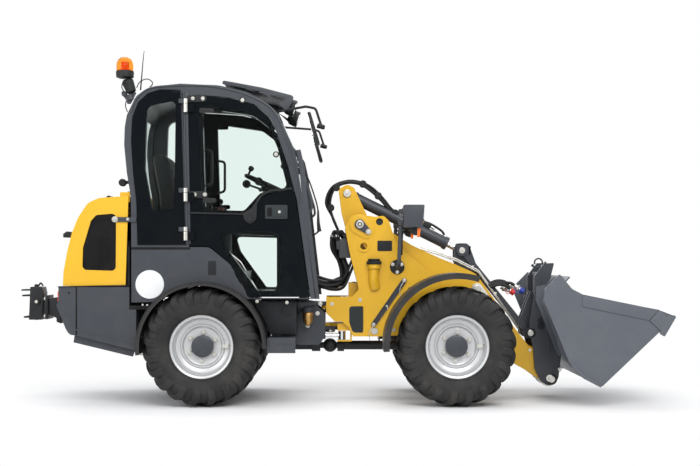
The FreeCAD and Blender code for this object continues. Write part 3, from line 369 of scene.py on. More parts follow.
def make_finishes():
    """Every finish by name, made once its shared effects are there."""
    for build in (mottle_group, dust_group, grain_group, weave_group):
        group = build()
        GROUPS[group.name] = group
    finish("yellow_paint", (0.68, 0.385, 0.014), 0.36, coat=0.15, specular=0.35, drift=0.07, dust=0.20,
        grain=900, depth=0.00008)
    finish("grey_paint", (0.040, 0.0445, 0.053), 0.40, coat=0.06, specular=0.30, drift=0.10, dust=0.14,
        grain=900, depth=0.00008)
    finish("bucket_paint", (0.092, 0.101, 0.118), 0.44, coat=0.05, specular=0.30, drift=0.12, dust=0.16,
        grain=700, depth=0.0001)
    finish("black_paint", (0.014, 0.016, 0.019), 0.40, coat=0.03, specular=0.22, drift=0.12, dust=0.14,
        grain=900, depth=0.00008)
    finish("black_gloss", (0.0035, 0.0050, 0.0066), 0.12, specular=0.05, drift=0.05, dust=0.08, grain=900,
        depth=0.00003)
    finish("lining", (0.022, 0.028, 0.030), 0.62, specular=0.25, drift=0.12, dust=0.1, grain=420,
        depth=0.0003, pits=0.5)
    finish("plastic", (0.013, 0.014, 0.015), 0.52, specular=0.25, drift=0.12, dust=0.14, grain=520,
        depth=0.0003, pits=0.6)
    finish("fender_plastic", (0.022, 0.021, 0.021), 0.42, specular=0.30, drift=0.12, dust=0.16, grain=520,
        depth=0.0002, pits=0.4)
    finish("rubber", (0.015, 0.015, 0.0155), 0.66, specular=0.28, drift=0.18, dust=0.24, grain=300,
        depth=0.0003, pits=0.3)
    finish("hose_rubber", (0.010, 0.010, 0.011), 0.50, specular=0.25, drift=0.15, dust=0.2, grain=300,
        depth=0.0002)
    finish("rim_paint", (0.53, 0.535, 0.54), 0.34, metallic=0.40, coat=0.1, drift=0.05, dust=0.12, grain=900,
        depth=0.00006)
    finish("cast_iron", (0.035, 0.036, 0.040), 0.58, drift=0.2, dust=0.4, grain=160, depth=0.0007, pits=0.5)
    finish("zinc", (0.62, 0.61, 0.57), 0.30, metallic=1.0, drift=0.12, dust=0.1, grain=700, depth=0.0001)
    finish("chrome", (0.78, 0.79, 0.80), 0.08, metallic=1.0, drift=0.04, dust=0.02, grain=700, depth=0.00002)
    finish("brass", (0.52, 0.30, 0.10), 0.32, metallic=0.9, drift=0.12, dust=0.1, grain=500, depth=0.0001)
    finish("white_plate", (0.72, 0.73, 0.73), 0.40, specular=0.3, drift=0.03, dust=0.05, grain=900,
        depth=0.00004)
    finish("dark_plate", (0.012, 0.013, 0.016), 0.38, specular=0.25, drift=0.05, dust=0.08, grain=900,
        depth=0.00004)
    finish("red_lens", (0.50, 0.012, 0.010), 0.12, coat=0.6, drift=0.05, dust=0.08, grain=300, depth=0.0001)
    finish("amber_lens", (0.95, 0.17, 0.008), 0.12, coat=0.6, drift=0.05, dust=0.08, grain=300, depth=0.0001)
    finish("red_cap", (0.55, 0.015, 0.010), 0.4, drift=0.08, dust=0.1, grain=500, depth=0.0001)
    finish("blue_cap", (0.015, 0.04, 0.30), 0.4, drift=0.08, dust=0.1, grain=500, depth=0.0001)
    finish("mirror", (0.85, 0.87, 0.88), 0.02, metallic=1.0, drift=0.01, dust=0.03, grain=900, depth=0.00001)
    finish("mesh_black", (0.006, 0.006, 0.007), 0.60, specular=0.15, drift=0.1, dust=0.25, grain=500,
        depth=0.0002)
    clear_finish("cab_glass", (0.88, 0.945, 0.92), ior=1.13)
    clear_finish("clear_lens", (0.93, 0.94, 0.95))
    clear_finish("amber_glass", (1.0, 0.36, 0.03), 0.05, 1.2)
    cloth = finish("seat_cloth", (0.022, 0.024, 0.027), 0.85, drift=0.2, dust=0.15, grain=600, depth=0.0003,
        sheen=0.25)
    tree = cloth.node_tree
    weave = tree.nodes.new("ShaderNodeGroup")
    weave.node_tree = GROUPS["seat_weave"]
    tree.links.new(tree.nodes["Texture Coordinate"].outputs["Object"], weave.inputs["Vector"])
    tree.links.new(weave.outputs["Height"], tree.nodes["Bump"].inputs["Height"])


# ---------------------------------------------------------------- mesh helpers

def arc_points(centre, radius, start, end, count):
    """Points on an arc, angles in degrees."""
    return [(centre[0] + radius * math.cos(math.radians(start + (end - start) * i / count)),
        centre[1] + radius * math.sin(math.radians(start + (end - start) * i / count)))
        for i in range(count + 1)]


def round_corners(points, steps=5):
    """An outline whose corners (u, v, r) are rounded to their radius."""
    out = []
    count = len(points)
    for i, point in enumerate(points):
        here = Vector(point[:2])
        radius = point[2] if len(point) > 2 else 0
        before, after = Vector(points[i - 1][:2]) - here, Vector(points[(i + 1) % count][:2]) - here
        if not radius or before.length < 1e-6 or after.length < 1e-6:
            out.append(tuple(here))
            continue
        half = before.angle(after) / 2
        if half > 1.54 or half < 0.05:
            out.append(tuple(here))
            continue
        back = min(radius / math.tan(half), before.length * 0.49, after.length * 0.49)
        radius = back * math.tan(half)
        centre = here + (before.normalized() + after.normalized()).normalized() * radius / math.sin(half)
        first = here + before.normalized() * back - centre
        turn = (here + after.normalized() * back - centre).angle_signed(first)
        for k in range(steps + 1):
            angle = turn * k / steps
            out.append((centre.x + first.x * math.cos(angle) - first.y * math.sin(angle),
                centre.y + first.x * math.sin(angle) + first.y * math.cos(angle)))
    return out


class Shape:
    """Collects closed forms in one mesh."""

    def __init__(self):
        self.mesh = bmesh.new()

    def faces_of(self, rings, closed=True, caps=True):
        """Skins a row of equally long rings of points."""
        rows = [[self.mesh.verts.new(p) for p in ring] for ring in rings]
        count = len(rows[0])
        for first, second in zip(rows, rows[1:]):
            for i in range(count if closed else count - 1):
                j = (i + 1) % count
                self.mesh.faces.new((first[i], first[j], second[j], second[i]))
        if caps:
            self.mesh.faces.new(rows[0][::-1])
            self.mesh.faces.new(rows[-1])
        return rows

    def add(self, other):
        """Takes in a finished mesh."""
        data = bpy.data.meshes.new("part")
        other.to_mesh(data)
        self.mesh.from_mesh(data)
        bpy.data.meshes.remove(data)
        other.free()

    def prism(self, points, low, high, edge=0.0, holes=()):
        """A plate with an (x, z) outline between two sideways places, its edges broken by a small bevel."""
        part = bmesh.new()
        loops = [round_corners(points)] + [arc_points(h[:2], h[2], 0, 360 - 360 / 20, 19) if len(h) == 3
            else round_corners(h) for h in holes]
        edges = []
        for loop in loops:
            ring = [part.verts.new((x, low, z)) for x, z in loop]
            edges += [part.edges.new((ring[i - 1], ring[i])) for i in range(len(ring))]
        if holes:
            bmesh.ops.triangle_fill(part, use_beauty=True, use_dissolve=False, edges=edges)
        else:
            part.faces.new(list(part.verts))
        lower = list(part.faces)
        top = bmesh.ops.extrude_face_region(part, geom=lower)["geom"]
        shift = Vector((0, high, 0)) - Vector((0, low, 0))
        bmesh.ops.translate(part, vec=shift, verts=[g for g in top if isinstance(g, bmesh.types.BMVert)])
        bmesh.ops.recalc_face_normals(part, faces=part.faces)
        if edge:
            bmesh.ops.dissolve_limit(part, angle_limit=0.002, verts=part.verts, edges=part.edges)
            sharp = [e for e in part.edges if len(e.link_faces) == 2 and e.calc_face_angle() > 0.6]
            bmesh.ops.bevel(part, geom=sharp, offset=edge, segments=2, profile=0.7, affect="EDGES",
                clamp_overlap=True)
        self.add(part)
        return self

    def block(self, low, high, edge=0.0):
        """A box with broken edges."""
        return self.prism([(low[0], low[2]), (high[0], low[2]), (high[0], high[2]), (low[0], high[2])],
            low[1], high[1], edge)

    def lathe(self, profile, centre, axis=(0, 1, 0), sides=32):
        """Turns (distance along the axis, radius) round an axis; it starts and ends at radius 0 to close."""
        turn = Vector((0, 0, 1)).rotation_difference(Vector(axis)).to_matrix()
        rings = []
        for height, radius in profile:
            rings.append([Vector(centre)
                + turn @ Vector((max(radius, 1e-5) * math.cos(2 * math.pi * i / sides),
                max(radius, 1e-5) * math.sin(2 * math.pi * i / sides), height)) for i in range(sides)])
        part = Shape()
        part.faces_of(rings)
        bmesh.ops.remove_doubles(part.mesh, verts=part.mesh.verts, dist=3e-5)
        bmesh.ops.recalc_face_normals(part.mesh, faces=part.mesh.faces)
        self.add(part.mesh)
        return self

    def drum(self, start, end, radius, sides=24, edge=0.0015):
        """A round bar with broken ends."""
        way = Vector(end) - Vector(start)
        edge = min(edge, radius * 0.4, way.length * 0.4)
        return self.lathe([(0, 0), (0, radius - edge), (edge, radius), (way.length - edge, radius),
            (way.length, radius - edge), (way.length, 0)], start, way.normalized(), sides)

    def stud(self, spot, near, far, radius, sides=24, edge=0.0015):
        """A round bar that runs straight across the machine at (x, z), between two sideways places."""
        return self.drum((spot[0], near, spot[1]), (spot[0], far, spot[1]), radius, sides, edge)

    def hexagon(self, start, end, across):
        """A nut or a bolt's head."""
        way = Vector(end) - Vector(start)
        r = across / 2 / math.cos(math.pi / 6)
        e = min(way.length * 0.2, r * 0.15)
        return self.lathe([(0, 0), (0, r), (way.length - e, r), (way.length, r - e), (way.length, 0)], start,
            way.normalized(), 6)

    def bolt(self, start, way, across, height):
        """A washer with a bolt's head on it."""
        way = Vector(way).normalized()
        start = Vector(start)
        self.drum(start, start + way * height * 0.25, across * 0.85, 18, 0.0005)
        return self.hexagon(start, start + way * height, across)

    def pipe(self, points, radius, sides=10, steps=6, caps=True):
        """A round bar or tube along smoothly rounded points."""
        self.mesh_tube(smooth_line(points, steps), radius, sides, caps)
        return self

    def mesh_tube(self, line, radius, sides=10, caps=True):
        """A round bar along close points; its radius may change with the share of the way."""
        rings = []
        normal = None
        for i, point in enumerate(line):
            ahead = line[min(i + 1, len(line) - 1)] - line[max(i - 1, 0)]
            ahead.normalize()
            if normal is None:
                normal = ahead.orthogonal().normalized()
            normal = (normal - ahead * normal.dot(ahead)).normalized()
            side = ahead.cross(normal)
            size = radius(i / (len(line) - 1)) if callable(radius) else radius
            rings.append([point + (normal * math.cos(2 * math.pi * k / sides)
                + side * math.sin(2 * math.pi * k / sides)) * size for k in range(sides)])
        part = Shape()
        part.faces_of(rings, caps=caps)
        bmesh.ops.recalc_face_normals(part.mesh, faces=part.mesh.faces)
        self.add(part.mesh)

    def copy(self, matrix):
        """Adds a moved or mirrored copy of all that is in it so far."""
        part = self.mesh.copy()
        bmesh.ops.transform(part, matrix=matrix, verts=part.verts)
        if matrix.determinant() < 0:
            bmesh.ops.reverse_faces(part, faces=part.faces)
        self.add(part)
        return self

    def moved(self, matrix):
        """Moves all that is in it so far."""
        bmesh.ops.transform(self.mesh, matrix=matrix, verts=self.mesh.verts)
        return self

    def both_sides(self):
        """Adds the mirror image on the machine's other side."""
        return self.copy(Matrix.Scale(-1, 4, (0, 1, 0)))

    def piece(self, name, body, look, replaces=(), angle=35, slot=None):
        """Makes the piece, gives it its finish and lets it ride on its body."""
        data = bpy.data.meshes.new(name)
        self.mesh.to_mesh(data)
        self.mesh.free()
        for face in data.polygons:
            face.use_smooth = True
        data.set_sharp_from_angle(angle=math.radians(angle))
        return place_piece(bpy.data.objects.new(name, data), body, look, replaces)


def shapes(count):
    """Empty shapes to collect the parts of several pieces."""
    return [Shape() for _ in range(count)]


def place_piece(obj, body, look, replaces):
    """Finish and body of a piece; given two bodies with two points instead, it stays fixed where it is and
    rides on neither.
    """
    bpy.context.collection.objects.link(obj)
    obj.data.materials.append(FINISH[look])
    if isinstance(body, tuple):
        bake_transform(obj)
    else:
        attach(obj, body)
    if replaces:
        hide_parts(*replaces)
    return obj


def rect(x0, z0, x1, z1, radius=0):
    """Corners of a rectangle, all rounded alike."""
    return [(x0, z0, radius), (x1, z0, radius), (x1, z1, radius), (x0, z1, radius)]


def beside(y, points):
    """Places (x, z) along a route that keeps to one sideways place."""
    return [Vector((x, y, z)) for x, z in points]


def stadium(first, second, near, far, steps=14):
    """Outline of a link: an arc round each of two centres."""
    turn = math.degrees(math.atan2(second[1] - first[1], second[0] - first[0]))
    return (arc_points(first, near, turn + 90, turn + 270, steps) + arc_points(second, far, turn - 90,
        turn + 90, steps))


def smooth_line(points, steps=6):
    """A curve through the points, as a list of close points."""
    pts = [Vector(p) for p in points]
    if len(pts) == 2:
        return pts
    ends = [pts[0] * 2 - pts[1]] + pts + [pts[-1] * 2 - pts[-2]]
    line = []
    for a, b, c, d in zip(ends, ends[1:], ends[2:], ends[3:]):
        for k in range(steps):
            t = k / steps
            line.append(0.5 * ((2 * b) + (c - a) * t + (2 * a - 5 * b + 4 * c - d) * t * t
                + (3 * b - a - 3 * c + d) * t ** 3))
    return line + [pts[-1]]


def bent_line(points, radius, steps=5):
    """Straight runs joined by arcs, as a bent steel tube has."""
    pts = [Vector(p) for p in points]
    line = [pts[0]]
    for before, here, after in zip(pts, pts[1:], pts[2:]):
        first, second = (before - here), (after - here)
        half = first.angle(second) / 2
        back = min(radius / math.tan(half), first.length * 0.48, second.length * 0.48)
        start, end = here + first.normalized() * back, here + second.normalized() * back
        for k in range(steps + 1):
            t = k / steps
            line.append(start * (1 - t) ** 2 + here * 2 * t * (1 - t) + end * t * t)
    return line + [pts[-1]]


def dress(node, look):
    """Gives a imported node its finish."""
    obj = NODES[node]
    obj.data.materials.clear()
    obj.data.materials.append(FINISH[look])


# ---------------------------------------------------------------- wheels

LUGS, LUG_HEIGHT = 20, 0.019
TYRE_SIDES, RIM_SIDES, STUD_CIRCLE = 120, 96, 0.0960
CARCASS = [(0.0, 0.386), (0.055, 0.3835), (0.100, 0.374), (0.126, 0.358), (0.138, 0.335), (0.1425, 0.305),
    (0.140, 0.275), (0.132, 0.247), (0.122, 0.228), (0.110, 0.2180), (0.1005, 0.2150)]  # sideways, outwards


def carcass_at(t):
    """Point and outward direction of the tyre's outer skin, from 0 at the crown to 1 at the bead."""
    spot = t * (len(CARCASS) - 1)
    i = min(int(spot), len(CARCASS) - 2)
    first, second = Vector(CARCASS[i]), Vector(CARCASS[i + 1])
    point = first.lerp(second, spot - i)
    run = (second - first).normalized()
    return point, Vector((-run.y, run.x)) if run.x > 0 or run.y < 0 else run


def tyre_profile():
    """Closed ring of (sideways, outwards) points, with moulded rings on the walls."""
    outer = [CARCASS[0]]
    for (y0, r0), (y1, r1) in zip(CARCASS, CARCASS[1:]):
        for k in range(1, 4):
            outer.append((y0 + (y1 - y0) * k / 3, r0 + (r1 - r0) * k / 3))
    wall = []
    for y, r in outer:
        rise = 0.0
        for at, width, height in ((0.318, 0.004, 0.0016), (0.262, 0.005, 0.002), (0.232, 0.004, 0.0015),
                (0.216, 0.004, 0.0025)):
            rise = max(rise, height * max(0.0, 1 - abs(r - at) / width)) if y > 0.1 else rise
        wall.append((y + rise, r))
    inner = [(0.090, 0.2130), (0.100, 0.222), (0.120, 0.250), (0.128, 0.300), (0.120, 0.345), (0.080, 0.366),
        (0.0, 0.370)]
    half = wall + inner
    return half + [(-y, r) for y, r in half[::-1] if y > 0]


def tyre_mesh():
    """Carcass with curved lugs that run from the shoulder past the middle, alternately from each side."""
    shape = Shape()
    ring_mesh(shape, tyre_profile(), TYRE_SIDES)
    for n in range(LUGS):
        for side, offset in ((1, 0.0), (-1, 0.5)):
            lug(shape, 2 * math.pi * (n + offset) / LUGS, side)
    bmesh.ops.recalc_face_normals(shape.mesh, faces=shape.mesh.faces)
    return shape


def lug(shape, start, side):
    """One tread bar: (share along the skin, angle, half width, height) at each station."""
    stations = [(-0.06, -0.020, 0.0135, 1.0), (0.0, 0.010, 0.0150, 1.0), (0.06, 0.052, 0.0165, 1.0),
        (0.12, 0.098, 0.0180, 1.0), (0.18, 0.142, 0.0195, 1.0), (0.24, 0.180, 0.0215, 1.0),
        (0.30, 0.207, 0.0235, 0.98), (0.36, 0.224, 0.0250, 0.86), (0.42, 0.232, 0.0255, 0.62),
        (0.48, 0.236, 0.0250, 0.36), (0.545, 0.238, 0.0240, 0.10)]
    rings = []
    for share, angle, half, height in stations:
        point, out = carcass_at(abs(share))
        y, r = point if share >= 0 else (-point.x, point.y)
        lift = LUG_HEIGHT * height
        ring = []
        for across, up in ((-1.25, -0.3), (-1.06, 0.55), (-0.93, 0.94), (-0.6, 1.0), (0.6, 1.0),
                (0.93, 0.94), (1.06, 0.55), (1.25, -0.3)):
            rise = lift * up if up > 0 else -0.006
            radius, sideways = r + out.y * rise, (y + out.x * rise) * side
            turn = start + angle + across * half / max(radius, 0.2)
            ring.append((radius * math.cos(turn), sideways, radius * math.sin(turn)))
        rings.append(ring)
    shape.faces_of(rings)


# sideways, outwards
RIM_PROFILE = [(0.103, 0.2135), (0.100, 0.2135), (0.094, 0.2060), (0.092, 0.1970), (0.074, 0.1945),
    (0.066, 0.1860), (0.050, 0.1845), (0.040, 0.1800), (0.036, 0.1620), (0.030, 0.1520), (0.033, 0.1470),
    (0.039, 0.1430), (0.038, 0.1370), (0.024, 0.1290), (0.021, 0.1230), (0.021, 0.0640), (0.006, 0.0640),
    (0.010, 0.1650), (0.012, 0.1760), (-0.060, 0.1790), (-0.094, 0.1900), (-0.096, 0.2070), (-0.103, 0.2135),
    (-0.105, 0.2110), (-0.100, 0.1850), (-0.060, 0.1730), (0.0, 0.1700), (0.006, 0.1600)]


def ring_mesh(shape, profile, sides):
    """A closed ring turned round the wheel's axle."""
    rows = [[shape.mesh.verts.new((r * math.cos(2 * math.pi * k / sides), y,
        r * math.sin(2 * math.pi * k / sides))) for y, r in profile] for k in range(sides)]
    for k in range(sides):
        first, second = rows[k], rows[(k + 1) % sides]
        for i in range(len(profile)):
            j = (i + 1) % len(profile)
            shape.mesh.faces.new((first[i], first[j], second[j], second[i]))


def fitted(shape, x, sign):
    """Puts a wheel part on its axle with its outer face away from the machine."""
    bmesh.ops.recalc_face_normals(shape.mesh, faces=shape.mesh.faces)
    shape.moved(Matrix.Translation((x, sign * TRACK_HALF, AXLE_Z)) @ Matrix.Scale(sign, 4, (0, 1, 0)))
    if sign < 0:
        bmesh.ops.reverse_faces(shape.mesh, faces=shape.mesh.faces)
    return shape


def wheels():
    """Tyre, rim, hub and nuts of each wheel."""
    for end, x in (("front", FRONT_X), ("rear", REAR_X)):
        for side, sign in (("left", 1), ("right", -1)):
            body, corner = f"wheel_{end}_{side}", f"{end}_{side}"
            rim = Shape()
            ring_mesh(rim, RIM_PROFILE, RIM_SIDES)
            fitted(tyre_mesh(), x, sign).piece(f"tread_{corner}", body, "rubber", [f"tyre_{corner}"], 50)
            fitted(rim, x, sign).piece(f"wheel_disc_{corner}", body, "rim_paint", [f"rim_{corner}"], 40)
            fitted(hub_shape(), x, sign).piece(f"hub_{corner}", body, "grey_paint")
            fitted(nut_shape(), x, sign).piece(f"wheel_nuts_{corner}", body, "zinc")


def hub_shape():
    """Planetary hub: cap with a small plug, on a flange that closes the rim's middle."""
    hub = Shape()
    hub.lathe([(-0.02, 0), (-0.02, 0.0640), (0.026, 0.0640), (0.028, 0.0745), (0.054, 0.0745),
        (0.062, 0.0720), (0.066, 0.0640), (0.067, 0.0)], (0, 0, 0), (0, 1, 0), 64)
    hub.hexagon((0.012, 0.066, 0.0), (0.012, 0.070, 0.0), 0.009)
    hub.hexagon((-0.030, 0.066, -0.034), (-0.030, 0.071, -0.034), 0.013)
    hub.hexagon((0.040, 0.066, -0.018), (0.040, 0.070, -0.018), 0.010)
    return hub


def nut_shape():
    """Six studs with nuts and washers, and the valve with its clip."""
    nuts = Shape()
    for k in range(6):
        turn = math.radians(90 + 60 * k - 4)
        x, z = STUD_CIRCLE * math.cos(turn), STUD_CIRCLE * math.sin(turn)
        nuts.stud((x, z), 0.020, 0.025, 0.0165, 20, 0.001)
        nuts.hexagon((x, 0.024, z), (x, 0.040, z), 0.024)
        nuts.stud((x, z), 0.036, 0.048, 0.0068, 12, 0.001)
    nuts.block((0.136, 0.036, -0.012), (0.176, 0.058, 0.013), 0.003)
    nuts.drum((0.166, 0.05, 0.0), (0.182, 0.075, 0.0), 0.005, 10, 0.001)
    return nuts


# ---------------------------------------------------------------- cab

def cab_trim():
    """Gloss panel round the quarter window, edge strip, sign, plate and body seams on both sides."""
    panel, strip, plate, sign, seams = shapes(5)
    window = [(-1.275, 2.020, 0.06), (-1.080, 2.060, 0.03), (-1.090, 1.320, 0.03), (-1.240, 1.320, 0.03),
        (-1.290, 1.600, 0.06)]
    panel.prism([(-1.048, 2.133), (-1.186, 2.135, 0.03), (-1.267, 2.111, 0.05), (-1.334, 2.050, 0.06),
        (-1.373, 1.949, 0.08), (-1.381, 1.794, 0.2), (-1.368, 1.579, 0.3), (-1.345, 1.370, 0.2),
        (-1.338, 1.088), (-1.014, 1.088)], -SKIN - 0.0085, -SKIN - 0.0064, 0.0008, [window])
    for points in (rect(-1.381, 1.057, -0.984, 1.073), rect(-1.404, 1.081, -1.392, 0.812)):
        seams.prism(points, -SKIN - 0.0025, -SKIN + 0.002, 0.0006)
    plate.prism(rect(-0.863, 0.980, -0.809, 0.886, 0.006), -SKIN - 0.003, -SKIN, 0.0008)
    plate.prism(rect(-0.856, 0.973, -0.816, 0.943, 0.004), -SKIN - 0.0045, -SKIN, 0.0006)
    spot = (-1.256, 0.822)
    sign.stud(spot, -SKIN + 0.001, -SKIN - 0.003, 0.096, 64, 0.0008)
    panel.both_sides().piece("quarter_panels", CAB, "black_gloss")
    plate.piece("blank_plate", CAB, "dark_plate")
    sign.piece("blank_sign", CAB, "white_plate")
    strip.prism([(-0.269, 1.728), (-0.240, 1.731), (-0.213, 1.613), (-0.193, 1.391), (-0.174, 1.249),
        (-0.112, 0.724), (-0.143, 0.724), (-0.210, 1.253), (-0.228, 1.391), (-0.249, 1.612)], -SKIN,
        -SKIN + 0.014, 0.002)
    strip.both_sides().piece("front_pillars", CAB, "grey_paint")
    seams.both_sides().piece("body_seams", CAB, "mesh_black")


def cab_edges():
    """Round edge along the roof and down the front pillar, on both sides."""
    rim = Shape()
    line = smooth_line(beside(-SKIN - 0.001,
        [(-1.381, 1.983), (-1.364, 2.043), (-1.327, 2.094), (-1.273, 2.135), (-1.199, 2.154),
        (-1.051, 2.162), (-0.917, 2.162), (-0.795, 2.150), (-0.674, 2.124), (-0.580, 2.090), (-0.499, 2.053),
        (-0.432, 2.003), (-0.378, 1.922), (-0.338, 1.808), (-0.304, 1.707), (-0.270, 1.545),
        (-0.250, 1.370)]), 4)
    rim.mesh_tube(line, 0.007, 8)
    rim.both_sides().piece("cab_edge", CAB, "grey_paint")


def door_parts():
    """Edge strip, hinges, clamps with their bolts, latch and inner rail of both doors."""
    for side, sign in (("right", -1), ("left", 1)):
        body = f"door_{side}"
        strip, bolts, plates, grips, recess, seal = shapes(6)
        strip.prism([(-1.030, 2.117), (-1.001, 2.117), (-0.980, 1.094), (-1.007, 1.094)], -SKIN - 0.0035,
            -SKIN, 0.001)
        strip.mesh_tube(beside(-SKIN - 0.007, [(-1.025, 2.117), (-1.002, 1.094)]), 0.006, 10)
        for x, z in [(-0.965, 2.073), (-0.898, 2.073), (-0.952, 1.427), (-0.884, 1.427), (-0.631, 2.062),
                (-0.405, 1.697)]:
            plates.stud((x, z), -SKIN - 0.0055, -SKIN - 0.0095, 0.021, 24, 0.001)
            bolts.stud((x, z), -SKIN - 0.009, -SKIN - 0.016, 0.0135, 24, 0.004)
            bolts.hexagon((x, -SKIN - 0.015, z), (x, -SKIN - 0.018, z), 0.009)
        for points in ([(-1.004, 2.096, 0.01), (-0.873, 2.096, 0.02), (-0.873, 2.050, 0.02),
                (-1.004, 2.050, 0.01)],
                [(-0.991, 1.450, 0.01), (-0.863, 1.450, 0.02), (-0.863, 1.404, 0.02), (-0.991, 1.404, 0.01)],
                [(-0.920, 2.010, 0.01), (-0.822, 2.006, 0.014), (-0.822, 1.976, 0.014),
                (-0.920, 1.976, 0.01)],
                [(-0.896, 1.404, 0.01), (-0.809, 1.404, 0.014), (-0.809, 1.370, 0.014),
                (-0.896, 1.370, 0.01)]):
            plates.prism(points, -SKIN - 0.0085, -SKIN - 0.006, 0.001)
        plates.prism([(-0.991, 1.310), (-0.627, 1.300, 0.06), (-0.567, 1.337, 0.05), (-0.506, 1.431, 0.06),
            (-0.445, 1.458, 0.05), (-0.301, 1.475), (-0.294, 1.464), (-0.439, 1.447, 0.06),
            (-0.498, 1.421, 0.07), (-0.533, 1.363), (-0.537, 1.263, 0.03), (-0.580, 1.219, 0.04),
            (-0.623, 1.263, 0.03), (-0.624, 1.291, 0.01), (-0.991, 1.299)], -SKIN - 0.011, -SKIN - 0.006,
            0.0015)
        knob = (-0.580, 1.263)
        plates.stud(knob, -SKIN - 0.009, -SKIN - 0.020, 0.020, 28, 0.003)
        recess.prism(rect(-0.479, 1.357, -0.328, 1.263, 0.008), -SKIN - 0.010, -SKIN - 0.002, 0.002)
        recess.prism(rect(-0.425, 1.341, -0.342, 1.279, 0.005), -SKIN - 0.014, -SKIN - 0.002, 0.0015)
        seal.prism(rect(-0.464, 1.339, -0.433, 1.280, 0.004), -SKIN - 0.0108, -SKIN - 0.008, 0.0005)
        lock = (-0.382, 1.310)
        bolts.stud(lock, -SKIN - 0.013, -SKIN - 0.0165, 0.010, 24, 0.001)
        grips.mesh_tube(bent_line(beside(-SKIN + 0.060,
            [(-0.901, 1.733), (-0.843, 1.726), (-0.843, 1.502), (-0.901, 1.488)]), 0.03), 0.0095, 12)
        for shape, name, look, slot in ((strip, "edge_strip", "grey_paint", "grey_paint"),
                (bolts, "bolts", "zinc", "steel"), (plates, "clamps", "plastic", "plastic"),
                (recess, "latch", "lining", "plastic"), (seal, "latch_slot", "mesh_black", "plastic"),
                (grips, "inner_rail", "plastic", "plastic")):
            if sign > 0:
                shape.moved(Matrix.Scale(-1, 4, (0, 1, 0)))
                bmesh.ops.reverse_faces(shape.mesh, faces=shape.mesh.faces)
            shape.piece(f"door_{name}_{side}", body, look, slot=slot)
        pins = Shape()
        for height in HINGE_HEIGHTS:
            pins.drum((-1.012, sign * 0.502, height - 0.0305), (-1.012, sign * 0.502, height + 0.0285),
                0.0162, 20, 0.001)
        pins.piece(f"hinge_lower_{side}", body, "zinc")
    fixed = Shape()
    for height in HINGE_HEIGHTS:
        fixed.drum((-1.012, -0.502, height + 0.0305), (-1.012, -0.502, height + 0.0605), 0.0162, 20, 0.001)
    fixed.both_sides().piece("hinge_uppers", CAB, "zinc")


FOAM_PRESSURE, FOAM_FRAMES = 4.0, 20
FOAM_VOXEL, FOAM_LIMIT, FOAM_FILL = 0.007, 0.010, 0.85


def stuffed(obj):
    """Swells a closed form like foam under its cover, with the simulation applied to the mesh."""
    scene = bpy.context.scene
    remesh = obj.modifiers.new("even", "REMESH")
    remesh.mode, remesh.voxel_size = "VOXEL", FOAM_VOXEL
    graph = bpy.context.evaluated_depsgraph_get()
    even = bpy.data.meshes.new_from_object(obj.evaluated_get(graph))
    obj.modifiers.clear()
    obj.data = even
    start = [v.co.copy() for v in even.vertices]
    cloth = obj.modifiers.new("foam", "CLOTH")
    cloth.settings.use_pressure = True
    cloth.settings.uniform_pressure_force = FOAM_PRESSURE
    cloth.settings.effector_weights.gravity = 0.0
    for step in range(1, FOAM_FRAMES + 1):
        scene.frame_set(step)
    graph = bpy.context.evaluated_depsgraph_get()
    blown = obj.evaluated_get(graph).to_mesh()
    ends = [v.co.copy() for v in blown.vertices]
    obj.evaluated_get(graph).to_mesh_clear()
    obj.modifiers.clear()
    for vertex, first, last in zip(even.vertices, start, ends):
        move = last - first
        vertex.co = first + move * min(1.0, FOAM_LIMIT / max(move.length, 1e-6))
    scene.frame_set(1)
    smooth = obj.modifiers.new("cover", "SUBSURF")
    smooth.levels = smooth.render_levels = 1
    for face in even.polygons:
        face.use_smooth = True


def on_surface(obj, points, lift=0.0015):
    """The nearest places on a piece's skin to a line of points."""
    out = []
    for point in points:
        found, place, normal, _ = obj.closest_point_on_mesh(point)
        out.append(place + normal * lift if found else point)
    return out


def seat_piece():
    """Cushion and high back, stuffed, with piped seams and sewn channels."""
    deck = 0.9054
    base, back, seams = shapes(3)
    base.prism([(-1.195, deck + 0.212, 0.03), (-0.782, deck + 0.212, 0.04), (-0.782, deck + 0.303, 0.05),
        (-0.93, deck + 0.312, 0.05), (-1.092, deck + 0.288, 0.04)], -0.210, 0.210, 0.020)
    back.prism([(-1.095, deck + 0.300, 0.03), (-1.122, 1.40, 0.2), (-1.196, 1.727, 0.05),
        (-1.250, 1.739, 0.04), (-1.286, 1.722, 0.04), (-1.238, 1.45, 0.2), (-1.204, deck + 0.262, 0.03)],
        -0.200, 0.200, 0.020)
    cushion = base.piece("seat_cushion", CAB, "seat_cloth", ["seat"], 60)
    rest = back.piece("seat_back", CAB, "seat_cloth", (), 60)
    for obj in (cushion, rest):
        stuffed(obj)
    side_seams = ((cushion, [(-0.80, 1.25), (-0.86, 1.25), (-0.93, 1.25), (-1.00, 1.25), (-1.06, 1.24)]),
        (rest, [(-1.07, 1.30), (-1.08, 1.38), (-1.09, 1.46), (-1.10, 1.55), (-1.12, 1.64)]))
    for y in (-0.130, 0.130):
        for obj, line in side_seams:
            seams.mesh_tube(smooth_line(on_surface(obj, beside(y, line)), 5), 0.0035, 8)
    for obj, x, z in ((cushion, -0.93, 1.25), (rest, -1.09, 1.50), (rest, -1.07, 1.33)):
        channel = [Vector((x, y / 100, z)) for y in range(-13, 14, 2)]
        seams.mesh_tube(smooth_line(on_surface(obj, channel), 3), 0.0030, 8)
    seams.piece("seat_piping", CAB, "plastic")
    arm = Shape()
    arm.prism([(-1.10, 1.335, 0.02), (-0.86, 1.330, 0.02), (-0.86, 1.375, 0.02), (-1.10, 1.380, 0.02)],
        0.238, 0.285, 0.008)
    arm.both_sides().piece("arm_rests", CAB, "plastic")


